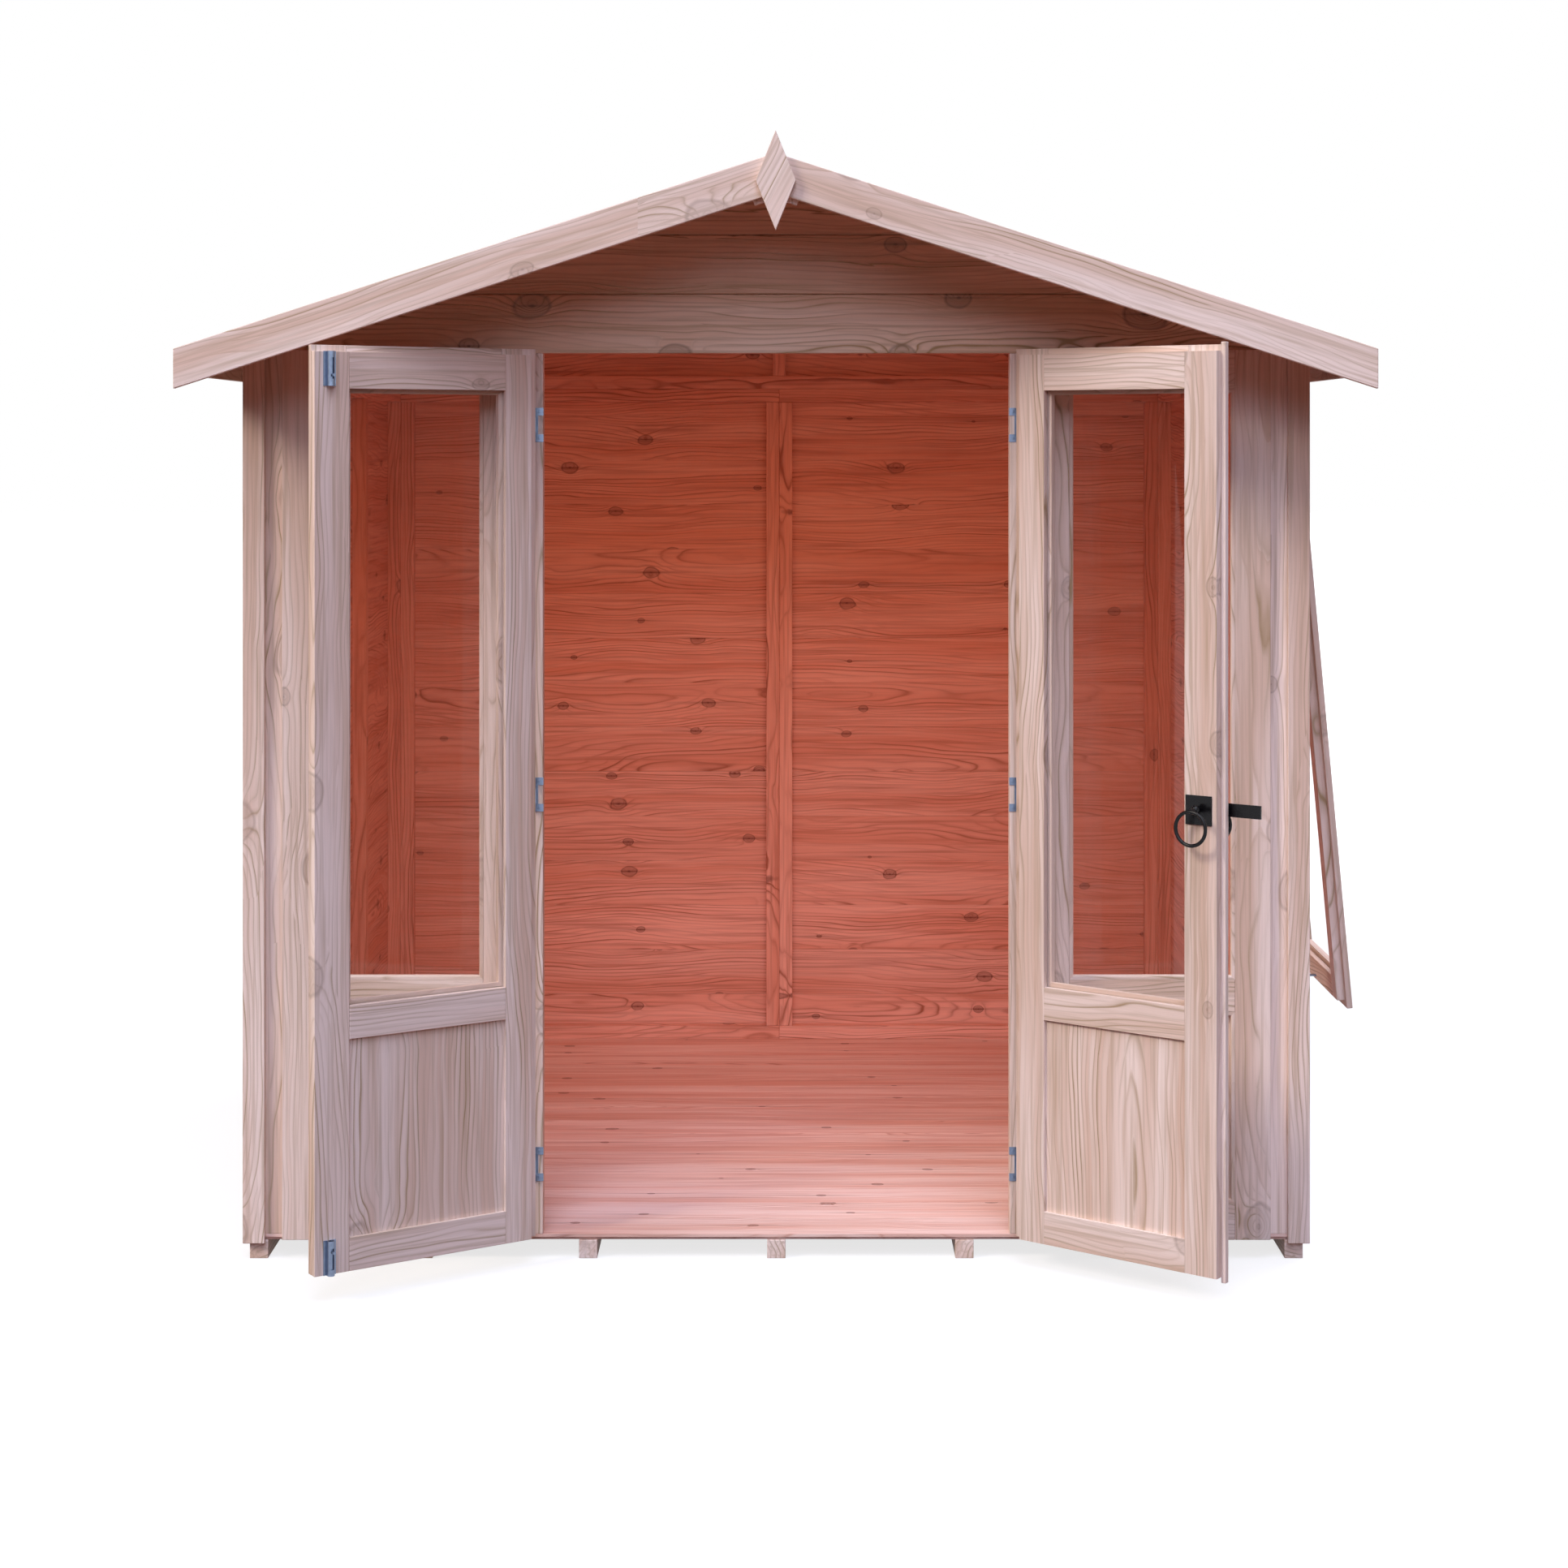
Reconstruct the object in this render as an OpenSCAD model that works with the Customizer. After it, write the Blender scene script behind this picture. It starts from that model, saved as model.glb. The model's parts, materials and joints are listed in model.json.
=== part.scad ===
// Timber summerhouse with double doors, two fixed side panels and a top-hung side window.
// The origin is at ground level under the middle of the floor: +X right, +Y back, +Z up.
// The doors and the side window stand open, as they do when the room is in use.

/* [Walls] */
// Width over the corner strips
wall_w = 2100; // [1860:10:2500]
// Depth from the face of the front posts to the face of the back boards
wall_d = 1880; // [1520:10:2400]
// Height of the wall panels above the ground
wall_h = 1750; // [1600:10:1980]
// Height of the doorway's head above the top of the wall panels
head_rise = 34; // [20:1:60]
// Thickness of the wall boards
board_t = 12; // [9:0.5:19]
// Width and depth of the framing timber
stud = 34; // [28:1:45]

/* [Floor] */
// Width of a floor bearer
bearer_w = 36; // [28:1:50]
// Height of a floor bearer
bearer_h = 36; // [28:1:50]
// Number of floor bearers
bearer_n = 7; // [5:2:9]
// Distance of the first bearers from the middle one
bearer_pitch = 371; // [300:1:420]
// Thickness of the floor boards
floor_t = 12; // [9:0.5:18]

/* [Roof] */
// Pitch of the roof in degrees
pitch = 18; // [12:1:26]
// How far the roof runs out beyond the corner strips
side_overhang = 84; // [40:2:160]
// How far the roof runs out in front of the posts
front_overhang = 256; // [120:2:320]
// How far the roof runs out behind the back boards
back_overhang = 70; // [40:2:200]
// Height of the roof's surface at the eaves above the top of the wall panels
eave_rise = 34; // [24:1:60]
// Thickness of the roof boards
roof_t = 12; // [9:0.5:18]
// Thickness of the felt
felt_t = 2; // [1.5:0.5:4]
// Depth of a barge board, square to the slope
barge_d = 72; // [60:1:100]
// Thickness of a barge board
barge_t = 14; // [10:1:20]
// Height of an eave fascia
fascia_h = 45; // [35:1:60]
// Height of the diamond finial
finial_h = 188; // [120:2:240]
// Width of the diamond finial
finial_w = 76; // [60:2:120]

/* [Doorway] */
// Half the width of the doorway
door_half_w = 460; // [400:5:520]
// Clearance round a door leaf
door_gap = 5; // [4:0.5:8]
// Thickness of a door leaf or side panel
leaf_t = 28; // [24:1:34]
// Thickness of the outer layer that laps over the posts
lip_t = 12; // [8:1:14]
// How far the outer layer laps over
lip = 12; // [8:1:16]
// Angle that the left door stands open
left_open = 146.5; // [90:0.5:148]
// Angle that the right door stands open
right_open = 142.3; // [90:0.1:148]
// Position of the left door's free edge from the middle
left_edge = 3; // [0:0.5:6]
// Position of the meeting strip's free edge from the middle
right_edge = 9; // [6:0.5:16]
// Width of the meeting strip on the right door
meet_w = 10; // [8:1:16]
// How far the meeting strip runs past the leaf at its foot
meet_foot = 10; // [0:1:16]
// How far the meeting strip runs past the leaf at its head
meet_head = 17; // [0:1:20]

/* [Leaf frames] */
// Width of a stile beside the glass
stile_w = 68; // [55:1:80]
// Height of the top rail
top_rail_h = 70; // [55:1:90]
// Height of the middle rail's top edge above the ground
mid_rail_top = 551; // [420:1:760]
// Height of the middle rail
mid_rail_h = 63; // [50:1:80]
// Height of the bottom rail
bottom_rail_h = 63; // [50:1:90]
// Thickness of the glass
glass_t = 3; // [3:0.5:4]
// Thickness of the lower panel
panel_t = 9; // [7:0.5:12]
// Width of the front corner's recessed face
corner_gap = 36; // [25:1:50]
// Width of a corner strip
strip_w = 43; // [30:1:60]

/* [Side window] */
// Width of the sash over its lips
sash_w = 480; // [380:5:520]
// Distance of the sash from the face of the front posts
sash_y = 145; // [130:5:200]
// Height of the sash's lower edge when shut
sash_bottom = 459; // [400:1:800]
// Distance of the sash's upper edge below the top of the wall panels
sash_drop = 22; // [16:1:60]
// Angle that the sash stands open
sash_open = 5.2; // [1:0.1:12]
// Width of a sash stile
sash_stile_w = 60; // [45:1:70]

/* [Hardware] */
// Height of a hinge
hinge_h = 67; // [50:1:80]
// Height of the lowest hinge's middle above the ground
hinge_low = 186; // [140:2:260]
// Distance of the highest hinge's middle below the doorway's head
hinge_drop = 141; // [100:1:240]
// Radius of a hinge knuckle
knuckle_r = 3; // [2.5:0.5:4]
// Thickness of the hinge plates
plate_t = 1.2; // [1:0.1:2]
// Height of the ring latch's spindle above the ground
latch_h = 922; // [800:1:1100]
// Outer diameter of a latch ring
ring_d = 70; // [50:1:90]
// Thickness of a latch ring
ring_t = 7; // [5:0.5:9]
// Width of a door bolt's plate
bolt_plate_w = 25; // [18:1:35]
// Height of a door bolt's plate
bolt_plate_h = 65; // [50:1:90]
// Diameter of a bolt
bolt_d = 9; // [7:0.5:12]

/* [Hidden] */

$fn = 32;
eps = 0.01;
// Hairline between pieces that butt together
joint = 0.3;

front_y = -wall_d / 2;
back_y = wall_d / 2;
skin_x = wall_w / 2 - board_t;        // face of the side boards
frame_x = skin_x - board_t;           // face of the side frames
room_x = frame_x - stud;              // inner face of the side studs
floor_z = bearer_h + floor_t;
back_in_y = back_y - board_t;         // inner face of the back boards
post_depth = stud;

head_h = wall_h + head_rise;
eave_h = wall_h + eave_rise;
sash_top = wall_h - sash_drop;
roof_half_w = wall_w / 2 + side_overhang;
slope = tan(pitch);
ridge_z = eave_h + roof_half_w * slope;
roof_front_y = front_y - front_overhang + barge_t;
roof_back_y = back_y + back_overhang - barge_t;
roof_length = roof_back_y - roof_front_y;
roof_stack = (roof_t + felt_t) / cos(pitch) + 2 * joint;

side_leaf_out = wall_w / 2 - strip_w - corner_gap + 2;
side_leaf_in = door_half_w + 46;

axis_x = door_half_w + lip + 4;
leaf_front = -door_gap - lip_t;       // outer face of a shut leaf, from the posts' face
axis_y = leaf_front - 2;
leaf_bottom = floor_z + door_gap;
leaf_top = head_h - door_gap;
lip_top = leaf_top + lip;
hinge_z = [hinge_low, (hinge_low + head_h - hinge_drop) / 2, head_h - hinge_drop];

wood_out = [0.80, 0.68, 0.64];
wood_in = [0.71, 0.40, 0.31];
wood_floor = [0.84, 0.62, 0.55];
zinc = [0.55, 0.60, 0.68];
iron = [0.09, 0.09, 0.10];
pane = [0.75, 0.85, 0.88, 0.4];
felt_colour = [0.25, 0.27, 0.26];

// ---------------------------------------------------------------- shared shapes

module both_sides() {
    children();
    mirror([1, 0, 0]) children();
}

// A box given by its near and far corners
module box(near, far) {
    translate(near) cube(far - near);
}

// A profile in the X-Z plane, drawn out along +Y from y0 to y1
module along_y(y0, y1) {
    translate([0, y1, 0]) rotate([90, 0, 0]) linear_extrude(y1 - y0) children();
}

// Height of the surface that lies `down` below the roof's top, measured plumb
function under_roof(x, down = 0) = ridge_z - abs(x) * slope - down;

// Strip of the roof's section on the right, between two plumb depths
module roof_strip(x0, x1, down0, down1) {
    polygon([
        [x0, under_roof(x0, down0)], [x1, under_roof(x1, down0)],
        [x1, under_roof(x1, down1)], [x0, under_roof(x0, down1)]
    ]);
}

// ---------------------------------------------------------------- floor

module floor_bearer(x) {
    translate([x - bearer_w / 2, front_y, 0]) cube([bearer_w, wall_d - board_t, bearer_h]);
}

module floor_bearers() {
    pairs = (bearer_n - 1) / 2;
    step = (skin_x - bearer_w / 2 - bearer_pitch) / (pairs - 1);
    color(wood_out) {
        floor_bearer(0);
        both_sides() for (i = [0 : pairs - 1]) floor_bearer(bearer_pitch + i * step);
    }
}

module floor_boards() {
    color(wood_floor)
        difference() {
            box([-frame_x + joint, front_y, bearer_h], [frame_x - joint, back_in_y - joint, floor_z]);
            translate([bolt_x, front_y + bolt_y, bearer_h - 1]) cylinder(d = bolt_hole_d, h = floor_t + 2);
        }
}

// ---------------------------------------------------------------- front wall

module front_posts() {
    top = head_h;
    color(wood_out)
        both_sides() {
            box([door_half_w, front_y, floor_z], [side_leaf_in + lip, front_y + post_depth, top]);
            box([side_leaf_out - lip, front_y, floor_z], [frame_x - joint, front_y + post_depth, top]);
        }
}

// One stile or rail of a leaf in two layers, grooved on demand by the caller.
// x0 and x1 are the inner layer's sides, z0 and z1 its ends; out_* add the outer layer's laps.
module layered(x0, x1, z0, z1, out_l = 0, out_r = 0, out_b = 0, out_t = 0) {
    box([x0, 0, z0], [x1, leaf_t, z1]);
    box([x0 - out_l, 0, z0 - out_b], [x1 + out_r, lip_t, z1 + out_t]);
}

groove = 8;
glass_y = lip_t + 2;

// Grooves for the glass and the lower panel between x0 and x1
module leaf_grooves(x0, x1, z_panel0, z_panel1, z_glass0, z_glass1) {
    box([x0 - groove, glass_y - joint, z_glass0 - groove],
        [x1 + groove, glass_y + glass_t + joint, z_glass1 + groove]);
    if (z_panel1 > z_panel0)
        box([x0 - groove, lip_t - joint, z_panel0 - groove],
            [x1 + groove, lip_t + panel_t + joint, z_panel1 + groove]);
}

// Frame of a leaf: outer face at y = 0, inner face at y = leaf_t
module leaf_frame(x0, x1, z0, z1, w0, w1, laps) {
    g0 = x0 + w0;
    g1 = x1 - w1;
    panel0 = z0 + bottom_rail_h;
    panel1 = mid_rail_top - mid_rail_h;
    top0 = z1 - top_rail_h;
    difference() {
        union() {
            layered(x0, g0, z0, z1, out_l = laps[0], out_b = laps[2], out_t = laps[3]);
            layered(g1, x1, z0, z1, out_r = laps[1], out_b = laps[2], out_t = laps[3]);
            layered(g0 + joint, g1 - joint, z0, panel0, out_b = laps[2]);
            layered(g0 + joint, g1 - joint, panel1, mid_rail_top);
            layered(g0 + joint, g1 - joint, top0, z1, out_t = laps[3]);
        }
        leaf_grooves(g0, g1, panel0, panel1, mid_rail_top, top0);
    }
}

module leaf_panel(x0, x1, z0, w0, w1) {
    reach = groove - joint;
    box([x0 + w0 - reach, lip_t, z0 + bottom_rail_h - reach],
        [x1 - w1 + reach, lip_t + panel_t, mid_rail_top - mid_rail_h + reach]);
}

module leaf_pane(x0, x1, z1, w0, w1) {
    reach = groove - joint;
    box([x0 + w0 - reach, glass_y, mid_rail_top - reach],
        [x1 - w1 + reach, glass_y + glass_t, z1 - top_rail_h + reach]);
}

side_x0 = side_leaf_in + lip + joint;
side_x1 = side_leaf_out - lip - joint;
side_w = stile_w + 2 - lip;

// Places a side panel so that its outer layer lies on the posts' face
module side_panels() {
    both_sides() translate([0, front_y - lip_t, 0]) children();
}

module side_panel_frames() {
    color(wood_out)
        side_panels()
            leaf_frame(side_x0, side_x1, floor_z + joint, head_h - joint, side_w, side_w,
                       [lip, lip, 9, lip - door_gap]);
}

module side_panel_boards() {
    color(wood_out) side_panels() leaf_panel(side_x0, side_x1, floor_z + joint, side_w, side_w);
}

module side_panel_glass() {
    color(pane) side_panels() leaf_pane(side_x0, side_x1, head_h - joint, side_w, side_w);
}

// ---------------------------------------------------------------- gables

ridge_rail = [60, 96, 14.8, 83];      // along the slope and down from it

module gable_section(half_w, z0) {
    polygon([
        [-half_w, z0], [half_w, z0], [half_w, under_roof(half_w, roof_stack)],
        [0, under_roof(0, roof_stack)], [-half_w, under_roof(half_w, roof_stack)]
    ]);
}

gable_half_w = room_x + 9.7;
post_top_z = ridge_z - 30;

// Bottom rail, two sloping rails and a middle post, hairline joints between them
module gable_frame_section(z0) {
    rail_top = z0 + stud;
    intersection() {
        gable_section(gable_half_w, z0);
        translate([-gable_half_w, z0]) square([2 * gable_half_w, stud]);
    }
    translate([-stud / 2, rail_top + joint]) square([stud, post_top_z - rail_top]);
    for (side = [0, 1])
        mirror([side, 0])
            intersection() {
                roof_strip(ridge_rail[1] * cos(pitch), gable_half_w, roof_stack,
                           roof_stack + stud / cos(pitch));
                translate([0, rail_top + joint]) square([gable_half_w, ridge_z]);
            }
}

module front_gable_boards() {
    color(wood_out) along_y(front_y, front_y + board_t) gable_section(skin_x, head_h + joint);
}

module front_gable_frame() {
    y0 = front_y + board_t + joint;
    color(wood_in)
        difference() {
            along_y(y0, y0 + stud) gable_frame_section(head_h + joint);
            translate([bolt_x, front_y + bolt_y, head_h - 1]) cylinder(d = bolt_hole_d, h = 30);
        }
}

module back_gable_boards() {
    color(wood_out) along_y(back_in_y, back_y) gable_section(skin_x, wall_h + joint);
}

module back_gable_frame() {
    color(wood_in)
        along_y(back_in_y - stud - joint, back_in_y - joint) gable_frame_section(wall_h + joint);
}

// ---------------------------------------------------------------- side and back walls

board_z = bearer_h + joint;
wall_stud_y = [front_y + post_depth + joint, front_y + 613, front_y + 1230, back_in_y - stud - joint];

module upright(x0, y0) {
    box([x0, y0, floor_z + stud + joint], [x0 + stud, y0 + stud, wall_h - stud - joint]);
}

module side_rails() {
    y0 = front_y + post_depth + joint;
    y1 = back_in_y - joint;
    box([room_x, y0, floor_z], [frame_x - joint, y1, floor_z + stud]);
    box([room_x, y0, wall_h - stud], [frame_x - joint, y1, wall_h]);
}

module left_wall_boards() {
    color(wood_out) box([-skin_x, front_y, board_z], [-frame_x, back_in_y - joint, wall_h]);
}

module left_wall_frame() {
    color(wood_in)
        mirror([1, 0, 0]) {
            side_rails();
            for (y = wall_stud_y) upright(room_x, y);
        }
}

sash_lap = lip;
hole_y0 = front_y + sash_y + sash_lap;
hole_y1 = front_y + sash_y + sash_w - sash_lap;
hole_z0 = sash_bottom + sash_lap;
hole_z1 = wall_h - stud;

module right_wall_front_boards() {
    color(wood_out) box([frame_x, front_y, board_z], [skin_x, hole_y0 - joint, wall_h]);
}

module right_wall_low_boards() {
    color(wood_out) box([frame_x, hole_y0, board_z], [skin_x, hole_y1, hole_z0]);
    color(wood_out) box([frame_x, hole_y0, hole_z1], [skin_x, hole_y1, wall_h]);
}

module right_wall_rear_boards() {
    color(wood_out) box([frame_x, hole_y1 + joint, board_z], [skin_x, back_in_y - joint, wall_h]);
}

module right_wall_frame() {
    color(wood_in) {
        side_rails();
        upright(room_x, wall_stud_y[0]);
        upright(room_x, hole_y0 - stud);
        upright(room_x, hole_y1);
        upright(room_x, wall_stud_y[2]);
        upright(room_x, wall_stud_y[3]);
        box([room_x, hole_y0 + joint, hole_z0 - stud], [frame_x - joint, hole_y1 - joint, hole_z0]);
    }
}

module back_wall_boards() {
    color(wood_out)
        both_sides() box([joint / 2, back_in_y, board_z], [skin_x, back_y, wall_h]);
}

module back_wall_frame() {
    y0 = back_in_y - stud - joint;
    color(wood_in)
        both_sides() {
            box([joint / 2, y0, floor_z], [room_x - joint, y0 + stud, floor_z + stud]);
            box([joint / 2, y0, wall_h - stud], [room_x - joint, y0 + stud, wall_h]);
            upright(joint / 2, y0);
            upright(room_x - joint - stud, y0);
        }
}

// Section of a corner board between x0 and x1, from the foot up to the roof boards
module corner_section(x0, x1) {
    z0 = bearer_h - 4;
    polygon([
        [x0, z0], [x1, z0], [x1, under_roof(x1, roof_stack)], [x0, under_roof(x0, roof_stack)]
    ]);
}

// Two boards to each corner: one on the front or back face, one on the side behind it
module corner_strips() {
    half_w = wall_w / 2;
    side_w = strip_w - board_t;
    color(wood_out)
        both_sides() {
            along_y(front_y - board_t - joint, front_y - joint) corner_section(half_w - strip_w, half_w);
            along_y(front_y, front_y + side_w) corner_section(skin_x + joint, half_w);
            along_y(back_y - side_w, back_y) corner_section(skin_x + joint, half_w);
            along_y(back_y + joint, back_y + board_t + joint) corner_section(half_w - strip_w, half_w);
        }
}

// ---------------------------------------------------------------- roof

module eave_rails() {
    x0 = gable_half_w + joint;
    x1 = skin_x;
    color(wood_in)
        both_sides()
            along_y(front_y + post_depth + joint, back_in_y - joint)
                polygon([
                    [x0, wall_h + joint], [x1, wall_h + joint],
                    [x1, under_roof(x1, roof_stack)], [x0, under_roof(x0, roof_stack)]
                ]);
}

module ridge_rails() {
    color(wood_in)
        both_sides()
            along_y(front_y + board_t + joint, back_in_y - joint)
                translate([0, ridge_z]) rotate(-pitch)
                    translate([ridge_rail[0], -ridge_rail[3]])
                        square([ridge_rail[1] - ridge_rail[0], ridge_rail[3] - ridge_rail[2]]);
}

gusset_t = 16;
gusset_reach = 68;
gusset_down = 80;

// Half of the plate that ties a pair of barge boards behind their mitre
module gusset_half() {
    intersection() {
        translate([0, ridge_z]) rotate(-pitch)
            translate([-gusset_reach, -gusset_down]) square([2 * gusset_reach, gusset_down - ridge_rail[2]]);
        translate([joint, ridge_z - 2 * gusset_down]) square(2 * gusset_down);
    }
}

module barge_gussets() {
    color(wood_out)
        for (y0 = [roof_front_y + joint, roof_back_y - gusset_t - joint])
            along_y(y0, y0 + gusset_t) {
                gusset_half();
                mirror([1, 0]) gusset_half();
            }
}

module roof_boards() {
    top = felt_t / cos(pitch) + joint;
    color(wood_in)
        both_sides()
            along_y(roof_front_y + joint, roof_back_y - joint)
                roof_strip(joint, roof_half_w - board_t - joint, top, top + roof_t / cos(pitch));
}

module roof_felt() {
    color(felt_colour)
        both_sides()
            along_y(roof_front_y + joint, roof_back_y - joint)
                roof_strip(joint, roof_half_w, 0, felt_t / cos(pitch));
}

module barge_section() {
    roof_strip(joint, roof_half_w, -1, barge_d / cos(pitch) - 1);
}

module front_barge_boards() {
    color(wood_out) both_sides() along_y(roof_front_y - barge_t, roof_front_y) barge_section();
}

module back_barge_boards() {
    color(wood_out) both_sides() along_y(roof_back_y, roof_back_y + barge_t) barge_section();
}

module finials() {
    mid_z = ridge_z - 52;
    color(wood_out)
        for (y0 = [roof_front_y - 2 * barge_t - joint, roof_back_y + barge_t + joint])
            along_y(y0, y0 + barge_t)
                polygon([
                    [0, mid_z - finial_h / 2], [finial_w / 2, mid_z],
                    [0, mid_z + finial_h / 2], [-finial_w / 2, mid_z]
                ]);
}

module eave_fascias() {
    down = felt_t / cos(pitch) + joint;
    x0 = roof_half_w - board_t;
    z0 = under_roof(roof_half_w, down) - fascia_h;
    color(wood_out)
        both_sides()
            along_y(roof_front_y + joint, roof_back_y - joint)
                polygon([
                    [x0, z0], [roof_half_w, z0],
                    [roof_half_w, under_roof(roof_half_w, down)], [x0, under_roof(x0, down)]
                ]);
}

// ---------------------------------------------------------------- doors

// Door parts are drawn shut, with the posts' face at y = 0, then swung about the hinge axis
module swing_left() {
    translate([-axis_x, front_y + axis_y, 0]) rotate([0, 0, -left_open])
        translate([axis_x, -axis_y, 0]) children();
}

module swing_right() {
    translate([axis_x, front_y + axis_y, 0]) rotate([0, 0, right_open])
        translate([-axis_x, -axis_y, 0]) children();
}

hinge_side = door_half_w - door_gap;
hinge_lap = lip + door_gap;
hinge_stile = stile_w - 11;
left_stile = stile_w + 3;
right_inner = right_edge + meet_w;

module left_door_frame() {
    color(wood_out)
        swing_left() translate([0, leaf_front, 0])
            leaf_frame(-hinge_side, left_edge, leaf_bottom, leaf_top, hinge_stile, left_stile,
                       [hinge_lap, 0, 0, lip]);
}

module left_door_panel() {
    color(wood_out)
        swing_left() translate([0, leaf_front, 0])
            leaf_panel(-hinge_side, left_edge, leaf_bottom, hinge_stile, left_stile);
}

module left_door_glass() {
    color(pane)
        swing_left() translate([0, leaf_front, 0])
            leaf_pane(-hinge_side, left_edge, leaf_top, hinge_stile, left_stile);
}

module right_door_frame() {
    color(wood_out)
        difference() {
            swing_right() translate([0, leaf_front, 0])
                leaf_frame(right_inner, hinge_side, leaf_bottom, leaf_top, stile_w, hinge_stile,
                           [0, hinge_lap, 0, lip]);
            swing_right() latch_axis() translate([0, 0, -leaf_t]) cylinder(d = spindle_d + 2, h = 3 * leaf_t);
        }
}

// Strip on the free edge that laps over the left door and the gap between the two
module meeting_strip() {
    color(wood_out)
        swing_right() translate([0, leaf_front, 0])
            box([right_edge, 0, leaf_bottom - meet_foot], [right_inner - joint, lip_t, leaf_top + meet_head]);
}

module right_door_panel() {
    color(wood_out)
        swing_right() translate([0, leaf_front, 0])
            leaf_panel(right_inner, hinge_side, leaf_bottom, stile_w, hinge_stile);
}

module right_door_glass() {
    color(pane)
        swing_right() translate([0, leaf_front, 0])
            leaf_pane(right_inner, hinge_side, leaf_top, stile_w, hinge_stile);
}

// ---------------------------------------------------------------- hinges

pin_r = 1.5;
pin_fit = 0.2;
arm_h = 19;
pad_h = 15;
web_w = 9;

// Cranked plate on the right-hand post: a frame with an open middle, two arms, two knuckles and the pin
module post_hinge() {
    arm_x = axis_x + knuckle_r - plate_t - 0.4;
    out_x = arm_x + plate_t;
    in_x = door_half_w - 1;
    difference() {
        box([in_x, -plate_t, 0], [out_x, 0, hinge_h]);
        box([in_x - 1, -plate_t - 1, pad_h], [out_x - web_w, 1, hinge_h - pad_h]);
        for (z = [pad_h / 2, hinge_h - pad_h / 2])
            translate([in_x + pad_h / 2, 1, z]) rotate([90, 0, 0]) cylinder(r = 2, h = plate_t + 2);
    }
    for (z = [0, hinge_h - arm_h]) {
        box([arm_x, axis_y, z], [out_x, -plate_t / 2, z + arm_h]);
        translate([axis_x, axis_y, z]) cylinder(r = knuckle_r, h = arm_h);
    }
    translate([axis_x, axis_y, 1]) cylinder(r = pin_r, h = hinge_h - 2);
}

// Leaf on the right-hand door's lapping edge: one knuckle and its plate
module leaf_hinge() {
    z0 = arm_h + 0.5;
    h = hinge_h - 2 * z0;
    edge_x = door_half_w + lip;
    difference() {
        union() {
            translate([axis_x, axis_y, z0]) cylinder(r = knuckle_r, h = h);
            box([edge_x, axis_y, z0], [edge_x + plate_t + 0.2, -door_gap - 1, z0 + h]);
        }
        translate([axis_x, axis_y, z0 - 1]) cylinder(r = pin_r + pin_fit, h = h + 2);
    }
}

module hinges_up() {
    for (z = hinge_z) translate([0, 0, z - hinge_h / 2]) children();
}

module post_hinges() {
    color(zinc) translate([0, front_y, 0]) both_sides() hinges_up() post_hinge();
}

module left_door_hinges() {
    color(zinc) swing_left() mirror([1, 0, 0]) hinges_up() leaf_hinge();
}

module right_door_hinges() {
    color(zinc) swing_right() hinges_up() leaf_hinge();
}

// ---------------------------------------------------------------- ring latch

latch_x = right_inner + 37;
spindle_d = 9;
latch_plate = 55;
latch_plate_t = 2.5;
bar_h = 25;
bar_t = 4;
bar_reach = 110;
bar_back = 18;
ring_off = 32;
boss_d = 17;

// Spindle axis, pointing into the room, with z = 0 on the leaf's outer face
module latch_axis() {
    translate([latch_x, leaf_front, latch_h]) rotate([-90, 0, 0]) children();
}

module latch_rose(z0) {
    difference() {
        translate([-latch_plate / 2, -latch_plate / 2, z0]) cube([latch_plate, latch_plate, latch_plate_t]);
        translate([0, 0, z0 - 1]) cylinder(d = spindle_d + 1.5, h = latch_plate_t + 2);
    }
}

module latch_plates() {
    color(iron)
        swing_right() latch_axis() {
            latch_rose(leaf_t);
            translate([0, 0, -latch_plate_t]) latch_rose(0);
        }
}

// A ring that hangs from the spindle, its plane parallel to the leaf
module latch_ring(z) {
    translate([0, (ring_d - ring_t) / 2, z])
        rotate_extrude($fn = 64) translate([(ring_d - ring_t) / 2, 0]) circle(d = ring_t);
}

module latch_bar() {
    inner = leaf_t + ring_off;
    outer = -ring_off - 2;
    bar_z = -latch_plate_t - 4 - bar_t;
    color(iron)
        swing_right() latch_axis() {
            translate([0, 0, outer]) cylinder(d = spindle_d, h = inner - outer);
            translate([-bar_reach, -bar_h / 2, bar_z]) cube([bar_reach + bar_back, bar_h, bar_t]);
            translate([-2, -3, leaf_t + latch_plate_t + 5.5 + boss_d / 2]) sphere(d = boss_d);
            translate([0, 0, inner - 8]) cylinder(d1 = boss_d - 3, d2 = spindle_d + 1, h = 8);
            latch_ring(inner);
            latch_ring(outer);
        }
}

// Hooked keep on the left door's outer face, open at the top
module latch_keep() {
    keep_x = latch_x - bar_reach + 20;
    z0 = latch_h - bar_h / 2 - 6;
    base = leaf_front;
    reach = 17;
    color(iron)
        swing_left() {
            box([keep_x - 25, base - 2, z0 - 20], [keep_x + 12, base, latch_h + 24]);
            box([keep_x - 9, base - reach, z0 - 3], [keep_x + 9, base - 1, z0]);
            box([keep_x - 9, base - reach - 3, z0 - 3], [keep_x + 9, base - reach, latch_h + 6]);
        }
}

// ---------------------------------------------------------------- door bolts

bolt_x = left_edge - 30;
bolt_off = 7.5;
bolt_y = leaf_front + leaf_t + bolt_off;
bolt_hole_d = bolt_d + 3;
barrel_d = bolt_d + 5;
bolt_throw = 25;
bolt_bore = bolt_d + 0.6;
knob_slot = 12;

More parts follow.
